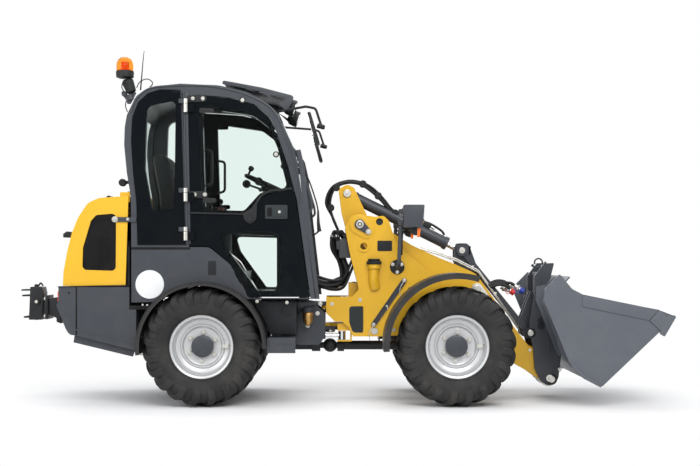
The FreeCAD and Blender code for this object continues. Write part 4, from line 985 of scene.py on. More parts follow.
def cab_controls():
    """Steering wheel on its hooded column, side console with its lever, gauges, floor mat and pedals."""
    wheel, hood, lever, red, console = shapes(5)
    tilt = Matrix.Translation((-0.490, 0, 1.520)) @ Matrix.Rotation(math.radians(24), 4, "Y")
    ring = [Vector((0.170 * math.cos(math.radians(k * 7.5)), 0.170 * math.sin(math.radians(k * 7.5)), 0))
        for k in range(49)]
    wheel.mesh_tube(ring, 0.0145, 12)
    for angle in (0, 120, 240):
        way = Vector((math.cos(math.radians(angle)), math.sin(math.radians(angle)), 0))
        wheel.pipe([way * 0.168, way * 0.09 - Vector((0, 0, 0.018)), way * 0.02 - Vector((0, 0, 0.022))],
            0.008)
    wheel.drum((0, 0, -0.045), (0, 0, -0.008), 0.040, 32, 0.006)
    wheel.pipe([(-0.165, 0.05, 0.012), (-0.165, 0.05, 0.05)], 0.008)
    wheel.lathe([(0, 0), (0, 0.010), (0.008, 0.020), (0.028, 0.020), (0.036, 0.010), (0.038, 0)],
        (-0.165, 0.05, 0.045), (0, 0, 1), 20)
    wheel.moved(tilt).piece("steering_wheel", CAB, "plastic", ["steering_column"])
    hood.prism([(-0.350, 0.765), (-0.255, 0.765), (-0.300, 1.250, 0.05), (-0.390, 1.420, 0.04),
        (-0.452, 1.470, 0.02), (-0.500, 1.430, 0.03), (-0.430, 1.270, 0.1), (-0.385, 1.000, 0.1)], -0.068,
        0.068, 0.010)
    hood.drum((-0.478, 0, 1.485), (-0.494, 0, 1.512), 0.026, 24, 0.003)
    hood.pipe([(-0.47, -0.02, 1.45), (-0.50, -0.10, 1.47), (-0.53, -0.15, 1.475)], 0.006)
    hood.lathe([(0, 0), (0, 0.006), (0.004, 0.011), (0.020, 0.011), (0.024, 0)], (-0.53, -0.15, 1.475),
        (-0.3, -1, 0.1), 16)
    hood.piece("column_hood", CAB, "lining")
    console.prism([(-1.15, 0.905, 0.01), (-0.72, 0.905, 0.03), (-0.72, 1.200, 0.05), (-0.86, 1.305, 0.04),
        (-1.15, 1.290, 0.04)], -0.425, -0.290, 0.010)
    console.piece("side_console", CAB, "lining")
    lever.pipe([(-0.800, -0.350, 1.255), (-0.795, -0.350, 1.300)], 0.014)
    lever.prism([(-0.835, 1.295, 0.01), (-0.755, 1.285, 0.01), (-0.748, 1.335, 0.014),
        (-0.790, 1.352, 0.014), (-0.822, 1.345, 0.01)], -0.372, -0.328, 0.007)
    for x, z in [(-0.662, 1.545), (-0.572, 1.564)]:
        lever.stud((x, z), 0.20, 0.235, 0.030, 24, 0.006)
    lever.pipe([(-0.655, 0.235, 1.545), (-0.50, 0.26, 1.46), (-0.42, 0.27, 1.20)], 0.008)
    lever.piece("lever_grip", CAB, "plastic")
    for x, z in ((-0.775, 1.343), (-0.762, 1.325), (-0.800, 1.350)):
        red.stud((x, z - 0.012), -0.372, -0.376, 0.005, 12, 0.001)
    red.piece("lever_buttons", CAB, "red_cap")
    mat = Shape()
    mat.block((-0.62, -0.42, 0.7605), (-0.30, 0.42, 0.7665), 0.002)
    for y in (-0.12, -0.24, 0.14):
        mat.prism([(-0.42, 0.80, 0.01), (-0.36, 0.86, 0.01), (-0.35, 0.85, 0.01), (-0.41, 0.79, 0.01)],
            y - 0.035, y + 0.035, 0.002)
        mat.pipe([(-0.385, y, 0.825), (-0.35, y, 0.775)], 0.008)
    mat.piece("floor_mat", CAB, "plastic")


def roof_parts():
    """Lamp bracket, lamps, mirrors on their arms, wiper, handrails and aerial."""
    bracket, lens, wiper, rail = shapes(4)
    for y in (-0.395, 0.385):
        bracket.prism([(-0.781, 2.187, 0.01), (-0.771, 2.210, 0.01), (-0.703, 2.199, 0.05),
            (-0.505, 2.162, 0.3), (-0.301, 2.109, 0.02), (-0.290, 2.094, 0.01), (-0.308, 2.049, 0.02),
            (-0.335, 2.007, 0.01), (-0.358, 2.018, 0.02), (-0.424, 2.080, 0.05), (-0.505, 2.121, 0.1),
            (-0.587, 2.147, 0.1), (-0.683, 2.170)], y, y + 0.010, 0.002,
            [[(-0.465, 2.116, 0.008), (-0.349, 2.084, 0.008), (-0.365, 2.049, 0.008),
            (-0.424, 2.084, 0.008)],
            [(-0.614, 2.155, 0.004), (-0.519, 2.135, 0.004), (-0.526, 2.128, 0.004), (-0.614, 2.148, 0.004)]])
    bracket.prism([(-0.774, 2.196, 0.004), (-0.768, 2.208, 0.004), (-0.703, 2.196, 0.05),
        (-0.505, 2.159, 0.3), (-0.298, 2.105, 0.01), (-0.301, 2.094, 0.01), (-0.505, 2.150, 0.3),
        (-0.703, 2.185)], -0.385, 0.385, 0.002)
    bracket.piece("lamp_bracket", CAB, "grey_paint", ["work_lamps"], slot="plastic")
    lamp = Shape()
    for y in (-0.300, 0.300):
        centre = Vector((-0.305, y, 2.035))
        way = Vector((1, 0, -0.32)).normalized()
        lamp.lathe([(-0.055, 0), (-0.055, 0.030), (-0.035, 0.052), (0.000, 0.058), (0.022, 0.058),
            (0.022, 0.052), (0.012, 0.050), (0.012, 0)], centre, way, 32)
        lamp.pipe([centre + Vector((-0.03, 0, 0.03)), centre + Vector((-0.035, 0, 0.085))], 0.010)
        lens.lathe([(0.0125, 0), (0.0125, 0.049), (0.0185, 0.045), (0.022, 0.025), (0.023, 0)], centre, way,
            32)
    lamp.piece("lamp_shells", CAB, "plastic")
    lens.piece("lamp_lenses", CAB, "mirror")
    mirrors()
    wiper.pipe(beside(-0.33,
        [(-0.235, 1.605), (-0.194, 1.547), (-0.157, 1.447), (-0.128, 1.344), (-0.121, 1.247)]), 0.005)
    wiper.mesh_tube(beside(-0.33, [(-0.125, 1.330), (-0.123, 1.241), (-0.116, 1.182)]),
        lambda t: 0.006 + 0.009 * t, 10)
    wiper.pipe(beside(-0.33, [(-0.118, 1.186), (-0.153, 1.161), (-0.187, 1.172)]), 0.006)
    wiper.pipe(beside(-0.33,
        [(-0.228, 1.674), (-0.190, 1.495), (-0.173, 1.357), (-0.160, 1.220), (-0.149, 1.124)]), 0.0045)
    wiper.drum((-0.275, -0.33, 1.595), (-0.205, -0.33, 1.600), 0.022, 20, 0.004)
    wiper.piece("wiper", CAB, "plastic")
    rail.mesh_tube(bent_line(beside(-0.462,
        [(-0.332, 1.784), (-0.274, 1.720), (-0.247, 1.649), (-0.169, 1.385), (-0.163, 1.331),
        (-0.220, 1.277)]), 0.03), 0.0085, 12)
    rail.both_sides().piece("hand_rails", CAB, "grey_paint")
    aerial = Shape()
    aerial.mesh_tube(beside(-0.25,
        [(-1.360, 2.167), (-1.355, 2.222), (-1.349, 2.292), (-1.342, 2.375), (-1.335, 2.438)]),
        lambda t: 0.0055 - 0.0035 * t, 8)
    aerial.piece("aerial", CAB, "plastic")


def mirrors():
    """Mirror heads on bent tube arms."""
    arm, head, glass = shapes(3)
    arm.mesh_tube(bent_line([(-0.395, -0.455, 1.990), (-0.200, -0.650, 1.998), (-0.135, -0.655, 1.985),
        (-0.095, -0.655, 1.862)], 0.03), 0.0085, 12)
    arm.drum((-0.125, -0.655, 1.872), (-0.078, -0.655, 1.860), 0.016, 16, 0.003)
    arm.hexagon((-0.088, -0.655, 1.862), (-0.074, -0.655, 1.859), 0.022)
    head.prism([(-0.190, 1.952, 0.012), (-0.168, 1.957, 0.012), (-0.106, 1.752, 0.012),
        (-0.120, 1.740, 0.012), (-0.134, 1.748, 0.012)], -0.722, -0.592, 0.006)
    glass.prism([(-0.1895, 1.938, 0.004), (-0.1865, 1.938, 0.004), (-0.1335, 1.760, 0.004),
        (-0.1365, 1.760, 0.004)], -0.714, -0.600, 0.001)
    arm.both_sides().piece("mirror_arms", CAB, "plastic", ["mirrors"])
    head.both_sides().piece("mirror_heads", CAB, "plastic")
    glass.both_sides().piece("mirror_faces", CAB, "mirror")


def beacon_piece():
    """Amber dome on a black foot and a cranked stalk, with its cable."""
    x, y, top = -1.458, -0.300, 2.390
    dome, core, foot, stalk, cable = shapes(5)
    dome.lathe([(0, 0), (0, 0.058), (0.030, 0.0605), (0.055, 0.0575), (0.078, 0.046), (0.092, 0.028),
        (0.098, 0)], (x, y, top - 0.099), (0, 0, 1), 48)
    core.drum((x, y, top - 0.098), (x, y, top - 0.040), 0.024, 24, 0.004)
    core.lathe([(0, 0), (0, 0.046), (0.006, 0.044), (0.012, 0.020), (0.014, 0)], (x, y, top - 0.0985),
        (0, 0, 1), 32)
    foot.lathe([(0, 0), (0, 0.040), (0.008, 0.060), (0.040, 0.0625), (0.050, 0.0600), (0.052, 0)],
        (x, y, top - 0.151), (0, 0, 1), 48)
    foot.lathe([(-0.055, 0), (-0.052, 0.020), (-0.040, 0.034), (0.035, 0.042), (0.050, 0.030), (0.055, 0)],
        (x + 0.030, y, top - 0.205), (-0.38, 0, 1), 28)
    foot.hexagon((x + 0.02, y - 0.035, top - 0.185), (x + 0.02, y - 0.045, top - 0.185), 0.018)
    stalk.prism([(-1.490, 2.146, 0.012), (-1.458, 2.155, 0.012), (-1.437, 2.125), (-1.403, 2.149),
        (-1.378, 2.142, 0.005), (-1.419, 2.063, 0.01), (-1.441, 2.063), (-1.451, 2.090)], y - 0.006,
        y + 0.006, 0.0015)
    spot = (-1.463, 2.130)
    stalk.stud(spot, y - 0.014, y + 0.014, 0.017, 20, 0.002)
    stalk.drum((x + 0.03, y, top - 0.262), (x + 0.045, y, top - 0.300), 0.020, 20, 0.002)
    cable.pipe(beside(-0.34, [(-1.450, 2.208), (-1.468, 2.195), (-1.471, 2.167), (-1.447, 2.129)]), 0.0035, 8)
    cable.pipe(beside(-0.34,
        [(-1.371, 2.167), (-1.351, 2.206), (-1.306, 2.229), (-1.269, 2.215), (-1.263, 2.192),
        (-1.281, 2.174)]), 0.0035, 8)
    cable.pipe(beside(-0.34, [(-1.443, 2.078), (-1.447, 2.044), (-1.434, 2.002)]), 0.0035, 8)
    dome.piece("beacon_dome", CAB, "amber_glass", ["beacon"])
    core.piece("beacon_core", CAB, "amber_lens")
    foot.piece("beacon_foot", CAB, "plastic")
    stalk.piece("beacon_stalk", CAB, "grey_paint")
    cable.piece("beacon_cable", CAB, "hose_rubber")


# ---------------------------------------------------------------- rear end and underside

def hood_parts():
    """Grille mesh with its border, straps at the hinge, window stays and hood catches."""
    mesh, border, strap, small = shapes(4)
    outline = [(-1.482, 1.300, 0.02), (-1.616, 1.290, 0.02), (-1.652, 1.250, 0.02), (-1.706, 1.068, 0.02),
        (-1.710, 0.920, 0.02), (-1.484, 0.913, 0.02)]
    mesh.prism(outline, -0.4795, -0.4762, 0.0)
    pitch = 0.0093
    for k in range(24):
        x = -1.700 + k * pitch
        low, high = 0.922, 1.060 + min(1.0, (x + 1.702) / 0.055) * 0.19 if x < -1.652 else 1.290
        mesh.block((x - 0.0012, -0.4812, low), (x + 0.0012, -0.4790, high))
    for k in range(40):
        z = 0.922 + k * pitch
        left = -1.704 + max(0.0, z - 1.068) * 0.29
        mesh.block((left, -0.4812, z - 0.0012), (-1.488, -0.4790, z + 0.0012))
    ring = [(x, z, 0.03) for x, z, _ in outline]
    outer_ring = [(-1.470, 1.312, 0.03), (-1.622, 1.302, 0.03), (-1.664, 1.256, 0.03), (-1.718, 1.070, 0.03),
        (-1.722, 0.908, 0.03), (-1.472, 0.901, 0.03)]
    border.prism(outer_ring, -0.4888, -0.4800, 0.0015, [ring])
    mesh.both_sides().piece("grille_mesh", "hood", "mesh_black", ["hood_grilles"], slot="plastic")
    border.both_sides().piece("grille_frame", "hood", "yellow_paint")
    strap.prism([(-1.504, 1.276, 0.012), (-1.346, 1.273), (-1.346, 1.242, 0.004), (-1.504, 1.243, 0.012)],
        -0.4985, -0.4905, 0.0015)
    spot = (-1.489, 1.260)
    strap.both_sides().piece("hood_straps", CAB, "grey_paint")
    small.bolt((spot[0], -0.498, spot[1]), (0, -1, 0), 0.024, 0.012)
    small.stud((-1.402, spot[1]), -0.4985, -0.506, 0.010, 16, 0.002)
    small.both_sides().piece("strap_bolts", CAB, "zinc")
    knob = Shape()
    spot = (-1.474, 1.520)
    knob.stud(spot, -0.32, -0.28, 0.026, 24, 0.005)
    knob.pipe([(spot[0], -0.30, spot[1]), (spot[0] + 0.055, -0.30, spot[1] + 0.004)], 0.012)
    knob.both_sides().piece("window_stays", CAB, "plastic")
    catch = Shape()
    spot = (-1.613, 1.456)
    catch.prism([(spot[0] - 0.028, 1.405, 0.004), (spot[0] - 0.026, 1.438, 0.012),
        (spot[0] - 0.006, 1.447, 0.01), (spot[0] + 0.024, 1.425, 0.008), (spot[0] + 0.026, 1.410)], -0.06,
        0.06, 0.004)
    spot = (-1.931, 1.168)
    catch.prism([(spot[0] - 0.012, spot[1] - 0.022, 0.004), (spot[0] - 0.012, spot[1] + 0.005, 0.004),
        (spot[0] + 0.015, spot[1] + 0.022, 0.006), (spot[0] + 0.060, spot[1] + 0.012),
        (spot[0] + 0.046, spot[1] - 0.022)], -0.07, 0.07, 0.004)
    catch.piece("hood_catches", "hood", "plastic")


def rear_parts():
    """Tail lamps, seams and creases of the rear body, skid plates, bolts, and the fenders' skins and lips."""
    red, amber, seam, bolts, guard = shapes(5)
    red.block((-1.8815, 0.330, 0.706), (-1.8685, 0.470, 0.738), 0.004)
    amber.block((-1.8815, 0.330, 0.7385), (-1.8685, 0.470, 0.776), 0.004)
    for y in (0.352, 0.399, 0.446):
        red.block((-1.8830, y - 0.018, 0.711), (-1.8810, y + 0.018, 0.733), 0.001)
        amber.block((-1.8830, y - 0.018, 0.744), (-1.8810, y + 0.018, 0.771), 0.001)
    red.both_sides().piece("brake_lamps", CAB, "red_lens", ["tail_lamps"])
    amber.both_sides().piece("turn_lamps", CAB, "amber_lens")
    seam.prism([(-1.752, 0.809), (-1.742, 0.809), (-1.742, 0.482), (-1.752, 0.485)], -0.5012, -0.4990, 0.0004)
    seam.prism([(-1.871, 0.810), (-1.399, 0.819), (-1.399, 0.810), (-1.871, 0.802)], -0.5010, -0.4990, 0.0004)
    seam.prism([(-1.393, 0.679), (-1.251, 0.679), (-1.276, 0.653), (-1.393, 0.653)], -0.5010, -0.4840, 0.0004)
    spot = (-1.797, 0.766)
    seam.stud(spot, -0.499, -0.5025, 0.007, 16, 0.001)
    seam.both_sides().piece("rear_seams", CAB, "mesh_black")
    guard.prism([(-1.756, 0.524), (-1.343, 0.421), (-1.343, 0.413), (-1.756, 0.515)], -0.5018, -0.4995,
        0.0006)
    guard.prism([(-1.621, 0.437), (-1.561, 0.421), (-1.561, 0.410), (-1.621, 0.426)], -0.2015, -0.1990,
        0.0006)
    guard.both_sides().piece("rear_crease", CAB, "grey_paint")
    plate = Shape()
    plate.prism([(-1.765, 0.486), (-1.775, 0.430), (-1.373, 0.333), (-1.360, 0.372)], -0.470, -0.455, 0.004)
    plate.both_sides().piece("skid_plates", CAB, "grey_paint")
    for x, z in [(-1.746, 0.441), (-1.360, 0.343), (-1.343, 0.366)]:
        bolts.bolt((x, -0.2, z), (0, -1, 0), 0.030, 0.016)
    for x, z in [(-1.303, 0.684), (-1.272, 0.681), (-1.235, 0.685)]:
        bolts.stud((x, z), -0.486, -0.496, 0.008, 12, 0.002)
    bolts.both_sides().piece("rear_bolts", CAB, "zinc")
    arch, lip = shapes(2)
    centre = (REAR_X, AXLE_Z)
    for low, high, shape, r0, r1, y0, y1 in ((2, 168, lip, 0.4285, 0.4355, 0.560, 0.5935),
            (-1, 187, arch, 0.4325, 0.4375, 0.482, 0.590)):
        ring = arc_points(centre, r1, low, high, 40) + arc_points(centre, r0, high, low, 40)
        shape.prism(ring, -y1, -y0, 0.0)
    arch.both_sides().piece("fender_skins", CAB, "fender_plastic")
    lip.both_sides().piece("fender_lips", CAB, "plastic")


def coupling():
    """Jaw with its lips, plates and drop pin, and the bolts that hold it."""
    jaw, bolts = shapes(2)
    jaw.prism([(-2.096, 0.560, 0.006), (-2.190, 0.560, 0.006), (-2.186, 0.640, 0.02), (-2.180, 0.795, 0.006),
        (-2.096, 0.795, 0.006), (-2.086, 0.750, 0.01)], -0.060, 0.060, 0.005)
    for low, high, tip in ((0.768, 0.779, -2.246), (0.728, 0.740, -2.240), (0.575, 0.588, -2.228)):
        jaw.prism([(-2.120, low), (tip, low - 0.002, 0.004), (tip, high - 0.002, 0.004), (-2.120, high)],
            -0.052, 0.052, 0.002)
    jaw.prism([(-2.100, 0.600), (-2.055, 0.610), (-2.055, 0.715), (-2.100, 0.735)], -0.045, 0.045, 0.006)
    jaw.block((-2.066, -0.085, 0.565), (-2.048, 0.085, 0.735), 0.004)
    jaw.prism([(-2.050, 0.600), (-1.985, 0.570), (-1.824, 0.530), (-1.824, 0.700), (-1.985, 0.722),
        (-2.050, 0.710)], -0.066, 0.066, 0.005)
    jaw.prism([(-1.985, 0.548), (-1.955, 0.535), (-1.955, 0.722), (-1.985, 0.722)], -0.092, 0.092, 0.004)
    jaw.drum((-2.150, 0, 0.556), (-2.150, 0, 0.812), 0.015, 24, 0.004)
    jaw.pipe(beside(0.02, [(-2.140, 0.800), (-2.125, 0.820), (-2.108, 0.800)]), 0.006)
    jaw.stud((-2.130, 0.690), -0.075, 0.075, 0.024, 24, 0.004)
    jaw.piece("coupling_jaw", CAB, "black_paint", ["tow_hitch"])
    for y in (-0.070, 0.070):
        for z in (0.590, 0.710):
            bolts.bolt((-2.066, y, z), (-1, 0, 0), 0.018, 0.012)
    bolts.hexagon((-2.130, -0.075, 0.690), (-2.130, -0.084, 0.690), 0.022)
    bolts.piece("coupling_bolts", CAB, "zinc")


def under_cab():
    """Side box, saw-tooth steps, bracket and bowl of the fuel filter, cable and the hinge's hardware."""
    tank, step, bowl, dark, cable = shapes(5)
    tank.prism([(-0.452, 0.480, 0.01), (-0.270, 0.480, 0.01), (-0.270, 0.700, 0.01), (-0.560, 0.700, 0.01),
        (-0.545, 0.665, 0.02), (-0.490, 0.580, 0.05)], -0.400, -0.216, 0.005)
    tank.both_sides().piece("side_boxes", CAB, "dark_plate", slot="black_paint")
    step.prism([(-0.462, 0.365), (-0.462, 0.4655), (-0.450, 0.4655)]
        + [(-0.450 + 0.0089 * k, 0.4655 + (0.007 if k % 2 else 0))
        for k in range(1, 20)] + [(-0.272, 0.4655), (-0.272, 0.425, 0.006), (-0.405, 0.425, 0.006),
        (-0.420, 0.365, 0.006)], -0.562, -0.556, 0.0008)
    step.prism(rect(-0.462, 0.4195, -0.272, 0.4225), -0.556, -0.340, 0.0005)
    for k in range(9):
        step.block((-0.452 + k * 0.021, -0.552, 0.4220), (-0.446 + k * 0.021, -0.340, 0.4290), 0.0008)
    step.both_sides().piece("step_treads", CAB, "grey_paint")
    bowl.lathe([(0, 0), (0, 0.020), (0.010, 0.027), (0.024, 0.0335), (0.078, 0.0345), (0.084, 0.031),
        (0.086, 0)], (-0.197, -0.262, 0.540), (0, 0, 1), 32)
    bowl.drum((-0.197, -0.262, 0.526), (-0.197, -0.262, 0.542), 0.012, 20, 0.003)
    bowl.piece("filter_bowl", CAB, "brass")
    dark.lathe([(0, 0), (0, 0.038), (0.012, 0.042), (0.034, 0.040), (0.040, 0.030), (0.042, 0)],
        (-0.197, -0.262, 0.624), (0, 0, 1), 32)
    dark.prism([(-0.311, 0.691, 0.005), (-0.134, 0.702, 0.005), (-0.134, 0.686, 0.005), (-0.164, 0.677),
        (-0.189, 0.653, 0.01), (-0.252, 0.653, 0.01), (-0.272, 0.671), (-0.311, 0.671, 0.005)], -0.285,
        -0.200, 0.003)
    dark.piece("filter_head", CAB, "grey_paint")
    cable.pipe(beside(-0.415,
        [(-0.321, 0.698), (-0.348, 0.691), (-0.373, 0.653), (-0.358, 0.626), (-0.307, 0.617)]), 0.0025, 8)
    cable.pipe(beside(-0.23, [(-0.297, 0.585), (-0.273, 0.600), (-0.253, 0.624), (-0.229, 0.631)]), 0.0035, 8)
    cable.piece("sensor_cable", CAB, "hose_rubber")
    bolts = Shape()
    for x, z in [(-0.300, 0.582), (-0.131, 0.613), (-0.319, 0.553), (-0.112, 0.681), (-0.199, 0.527)]:
        bolts.bolt((x, -0.199, z), (0, -1, 0), 0.018, 0.010)
    for x, z in [(-0.533, 0.708), (-0.332, 0.700)]:
        bolts.bolt((x, -0.484, z), (0, -1, 0), 0.014, 0.008)
    bolts.piece("frame_bolts", CAB, "zinc")
    hinge, boot = shapes(2)
    hinge.drum((HINGE_X, 0, 0.612), (HINGE_X, 0, 0.640), 0.040, 32, 0.004)
    hinge.drum((HINGE_X, 0, 0.5130), (HINGE_X, 0, 0.470), 0.036, 32, 0.004)
    hinge.piece("hinge_collars", CAB, "zinc")
    boot.lathe([(-0.050, 0), *arc_points((0, 0), 0.050, 165, 15, 10), (0.050, 0)], (HINGE_X, 0, 0.376),
        (1, 0, 0), 28)
    boot.piece("hinge_boot", CAB, "plastic", slot="black_paint")


# ---------------------------------------------------------------- front half

def tower_parts():
    """Raised bosses with keepers, holes, blank plate, filler neck, meshed recess and pins."""
    boss, keeper, zinc, hole, cap, plate = shapes(6)
    face = -0.152
    pivot, keep = (0.165, 1.236), (0.226, 1.184)
    low_end = (pivot[0] + (keep[0] - pivot[0]) * 0.75, pivot[1] + (keep[1] - pivot[1]) * 0.75)
    boss.prism(stadium(pivot, low_end, 0.072, 0.060), face - 0.007, face + 0.001, 0.003)
    keeper.prism(stadium(pivot, keep, 0.036, 0.019), face - 0.018, face - 0.006, 0.0015)
    zinc.stud(pivot, face - 0.017, face - 0.026, 0.028, 32, 0.003)
    keeper.stud(pivot, face - 0.025, face - 0.0275, 0.017, 24, 0.001)
    zinc.stud(pivot, face - 0.026, face - 0.030, 0.010, 20, 0.001)
    zinc.bolt((keep[0], face - 0.018, keep[1]), (0, -1, 0), 0.022, 0.012)
    ring, high = (0.193, 1.083), (0.308, 1.257)
    boss.prism(arc_points(ring, 0.043, 0, 351, 39), face - 0.007, face + 0.0005, 0.002, [(*ring, 0.0245)])
    hole.stud(high, -0.1345, -0.1355, 0.028, 28, 0.0003)
    lower = (0.269, 0.485)
    zinc.stud(lower, face, face - 0.004, 0.024, 28, 0.001)
    plate.prism(rect(0.289, 1.122, 0.392, 1.049, 0.006), face - 0.003, face, 0.0008)
    hole.prism([(0.091, 0.660, 0.02), (0.188, 0.661, 0.006), (0.188, 0.475, 0.006), (0.115, 0.475, 0.03),
        (0.091, 0.550, 0.03)], face - 0.0018, face, 0.0006)
    for k in range(22):
        x = 0.098 + k * 0.0044
        hole.block((x, face - 0.0028, 0.492 + (0.03 if k < 4 else 0.0)), (x + 0.0012, face - 0.0016, 0.655))
    neck_x, neck_y = 0.265, -0.170
    cap.drum((neck_x, neck_y, 0.955), (neck_x, neck_y, 0.978), 0.050, 32, 0.004)
    cap.drum((neck_x, neck_y, 0.978), (neck_x, neck_y, 0.995), 0.044, 32, 0.006)
    for k in range(16):
        turn = 2 * math.pi * k / 16
        x, y = neck_x + 0.049 * math.cos(turn), neck_y + 0.049 * math.sin(turn)
        cap.drum((x, y, 0.956), (x, y, 0.976), 0.004, 8, 0.0005)
    cap.piece("filler_cap", FRONT, "plastic")
    boss.drum((neck_x, neck_y, 0.925), (neck_x, neck_y, 0.956), 0.045, 32, 0.003)
    boss.pipe([(0.265, -0.168, 0.930), (0.262, -0.160, 0.850), (0.272, -0.140, 0.790)],
        lambda t: 0.034 + 0.006 * t, 20)
    boss.both_sides().piece("tower_bosses", FRONT, "yellow_paint")
    keeper.both_sides().piece("pin_keepers", FRONT, "grey_paint")
    hole.both_sides().piece("tower_mesh", FRONT, "lining")
    plate.piece("tower_plate", FRONT, "dark_plate")
    zinc.stud(EAR, -0.0895, -0.097, 0.027, 32, 0.002)
    zinc.bolt((EAR[0], -0.096, EAR[1]), (0, -1, 0), 0.020, 0.008)
    for x, z in [(-0.030, 0.677), (0.405, 0.494), (0.167, 0.705)]:
        zinc.bolt((x, face, z), (0, -1, 0), 0.016, 0.008)
    zinc.both_sides().piece("tower_pins", FRONT, "zinc")


def lock_bar_piece():
    """Steel bar for transport, held by two pins, each with a thin cord."""
    bar, pins = shapes(2)
    a, b = Vector((0.477, 0.842)), Vector((0.262, 0.532))
    way = (a - b).normalized()
    side = Vector((-way.y, way.x))
    bar.prism(stadium(b, a, 0.0175, 0.0175, 10), -0.1640, -0.1525, 0.002)
    bar.prism([tuple(b + way * 0.02 + side * 0.012), tuple(a - way * 0.02 + side * 0.012),
        tuple(a - way * 0.02 + side * 0.0165), tuple(b + way * 0.02 + side * 0.0165)], -0.176, -0.163, 0.0015)
    bar.piece("transport_bar", FRONT, "grey_paint", ["lock_bar"])
    for end in (a, b):
        pins.stud(end, -0.1635, -0.178, 0.014, 24, 0.002)
        pins.stud(end, -0.177, -0.186, 0.008, 16, 0.002)
    middle = a.lerp(b, 0.58)
    pins.stud(middle, -0.176, -0.184, 0.008, 16, 0.002)
    pins.block((middle.x + 0.004, -0.184, middle.y - 0.028), (middle.x + 0.010, -0.178, middle.y + 0.006),
        0.001)
    for start in (a, b):
        pins.pipe([(start.x, -0.182, start.y), (start.x - 0.03, -0.186, start.y - 0.055),
            (start.x - 0.028, -0.184, start.y - 0.11)], 0.0022, 6)
    pins.piece("bar_pins", FRONT, "zinc")


def headlamp_parts():
    """Square lamp shells on posts, with turn lamps below and round lenses in front."""
    shell, post, lens, blink, foot, zinc = shapes(6)
    y, foot_x, foot_z = 0.340, 0.428, 0.937
    shell.prism([(0.461, 1.212, 0.006), (0.592, 1.208, 0.006), (0.594, 1.262, 0.02), (0.602, 1.356, 0.006),
        (0.598, 1.364, 0.004), (0.461, 1.364, 0.008)], -y - 0.070, -y + 0.070, 0.004)
    shell.both_sides().piece("lamp_boxes", FRONT, "grey_paint", ["headlamps"], slot="plastic")
    lens.lathe([(0, 0), (0, 0.055), (0.006, 0.052), (0.010, 0.030), (0.011, 0)], (0.5965, -y, 1.290),
        (1, 0, 0), 40)
    lens.both_sides().piece("lamp_faces", FRONT, "mirror")
    foot.prism([(0.482, 1.2075), (0.556, 1.2075), (0.556, 1.150, 0.01), (0.520, 1.165, 0.02)], -y - 0.034,
        -y + 0.034, 0.003)
    blink.prism([(0.550, 1.204, 0.004), (0.580, 1.204, 0.006), (0.570, 1.142, 0.008), (0.554, 1.142, 0.008)],
        -y - 0.034, -y + 0.034, 0.004)
    post.mesh_tube(bent_line([(foot_x, -0.158, foot_z), (foot_x, -y + 0.04, foot_z), (0.430, -y, 0.960),
        (0.443, -y, 1.235)], 0.05), 0.0135, 14)
    post.block((0.425, -y - 0.020, 1.226), (0.463, -y + 0.020, 1.262), 0.003)
    post.both_sides().piece("lamp_posts", FRONT, "grey_paint", slot="plastic")
    foot.stud((foot_x, foot_z), -0.1525, -0.161, 0.051, 40, 0.002)
    foot.pipe([(0.448, -y, 1.235), (0.455, -y, 1.205), (0.500, -y, 1.190)], 0.006)
    foot.pipe([(0.452, -y + 0.02, 1.02), (0.456, -y, 1.16), (0.470, -y, 1.205)], 0.0045)
    foot.both_sides().piece("lamp_flanges", FRONT, "plastic")
    blink.both_sides().piece("front_turn_lamps", FRONT, "amber_lens")
    for k in range(3):
        turn = math.radians(30 + 120 * k)
        zinc.bolt((foot_x + 0.036 * math.cos(turn), -0.161, foot_z + 0.036 * math.sin(turn)), (0, -1, 0),
            0.015, 0.008)
    zinc.both_sides().piece("lamp_bolts", FRONT, "zinc")


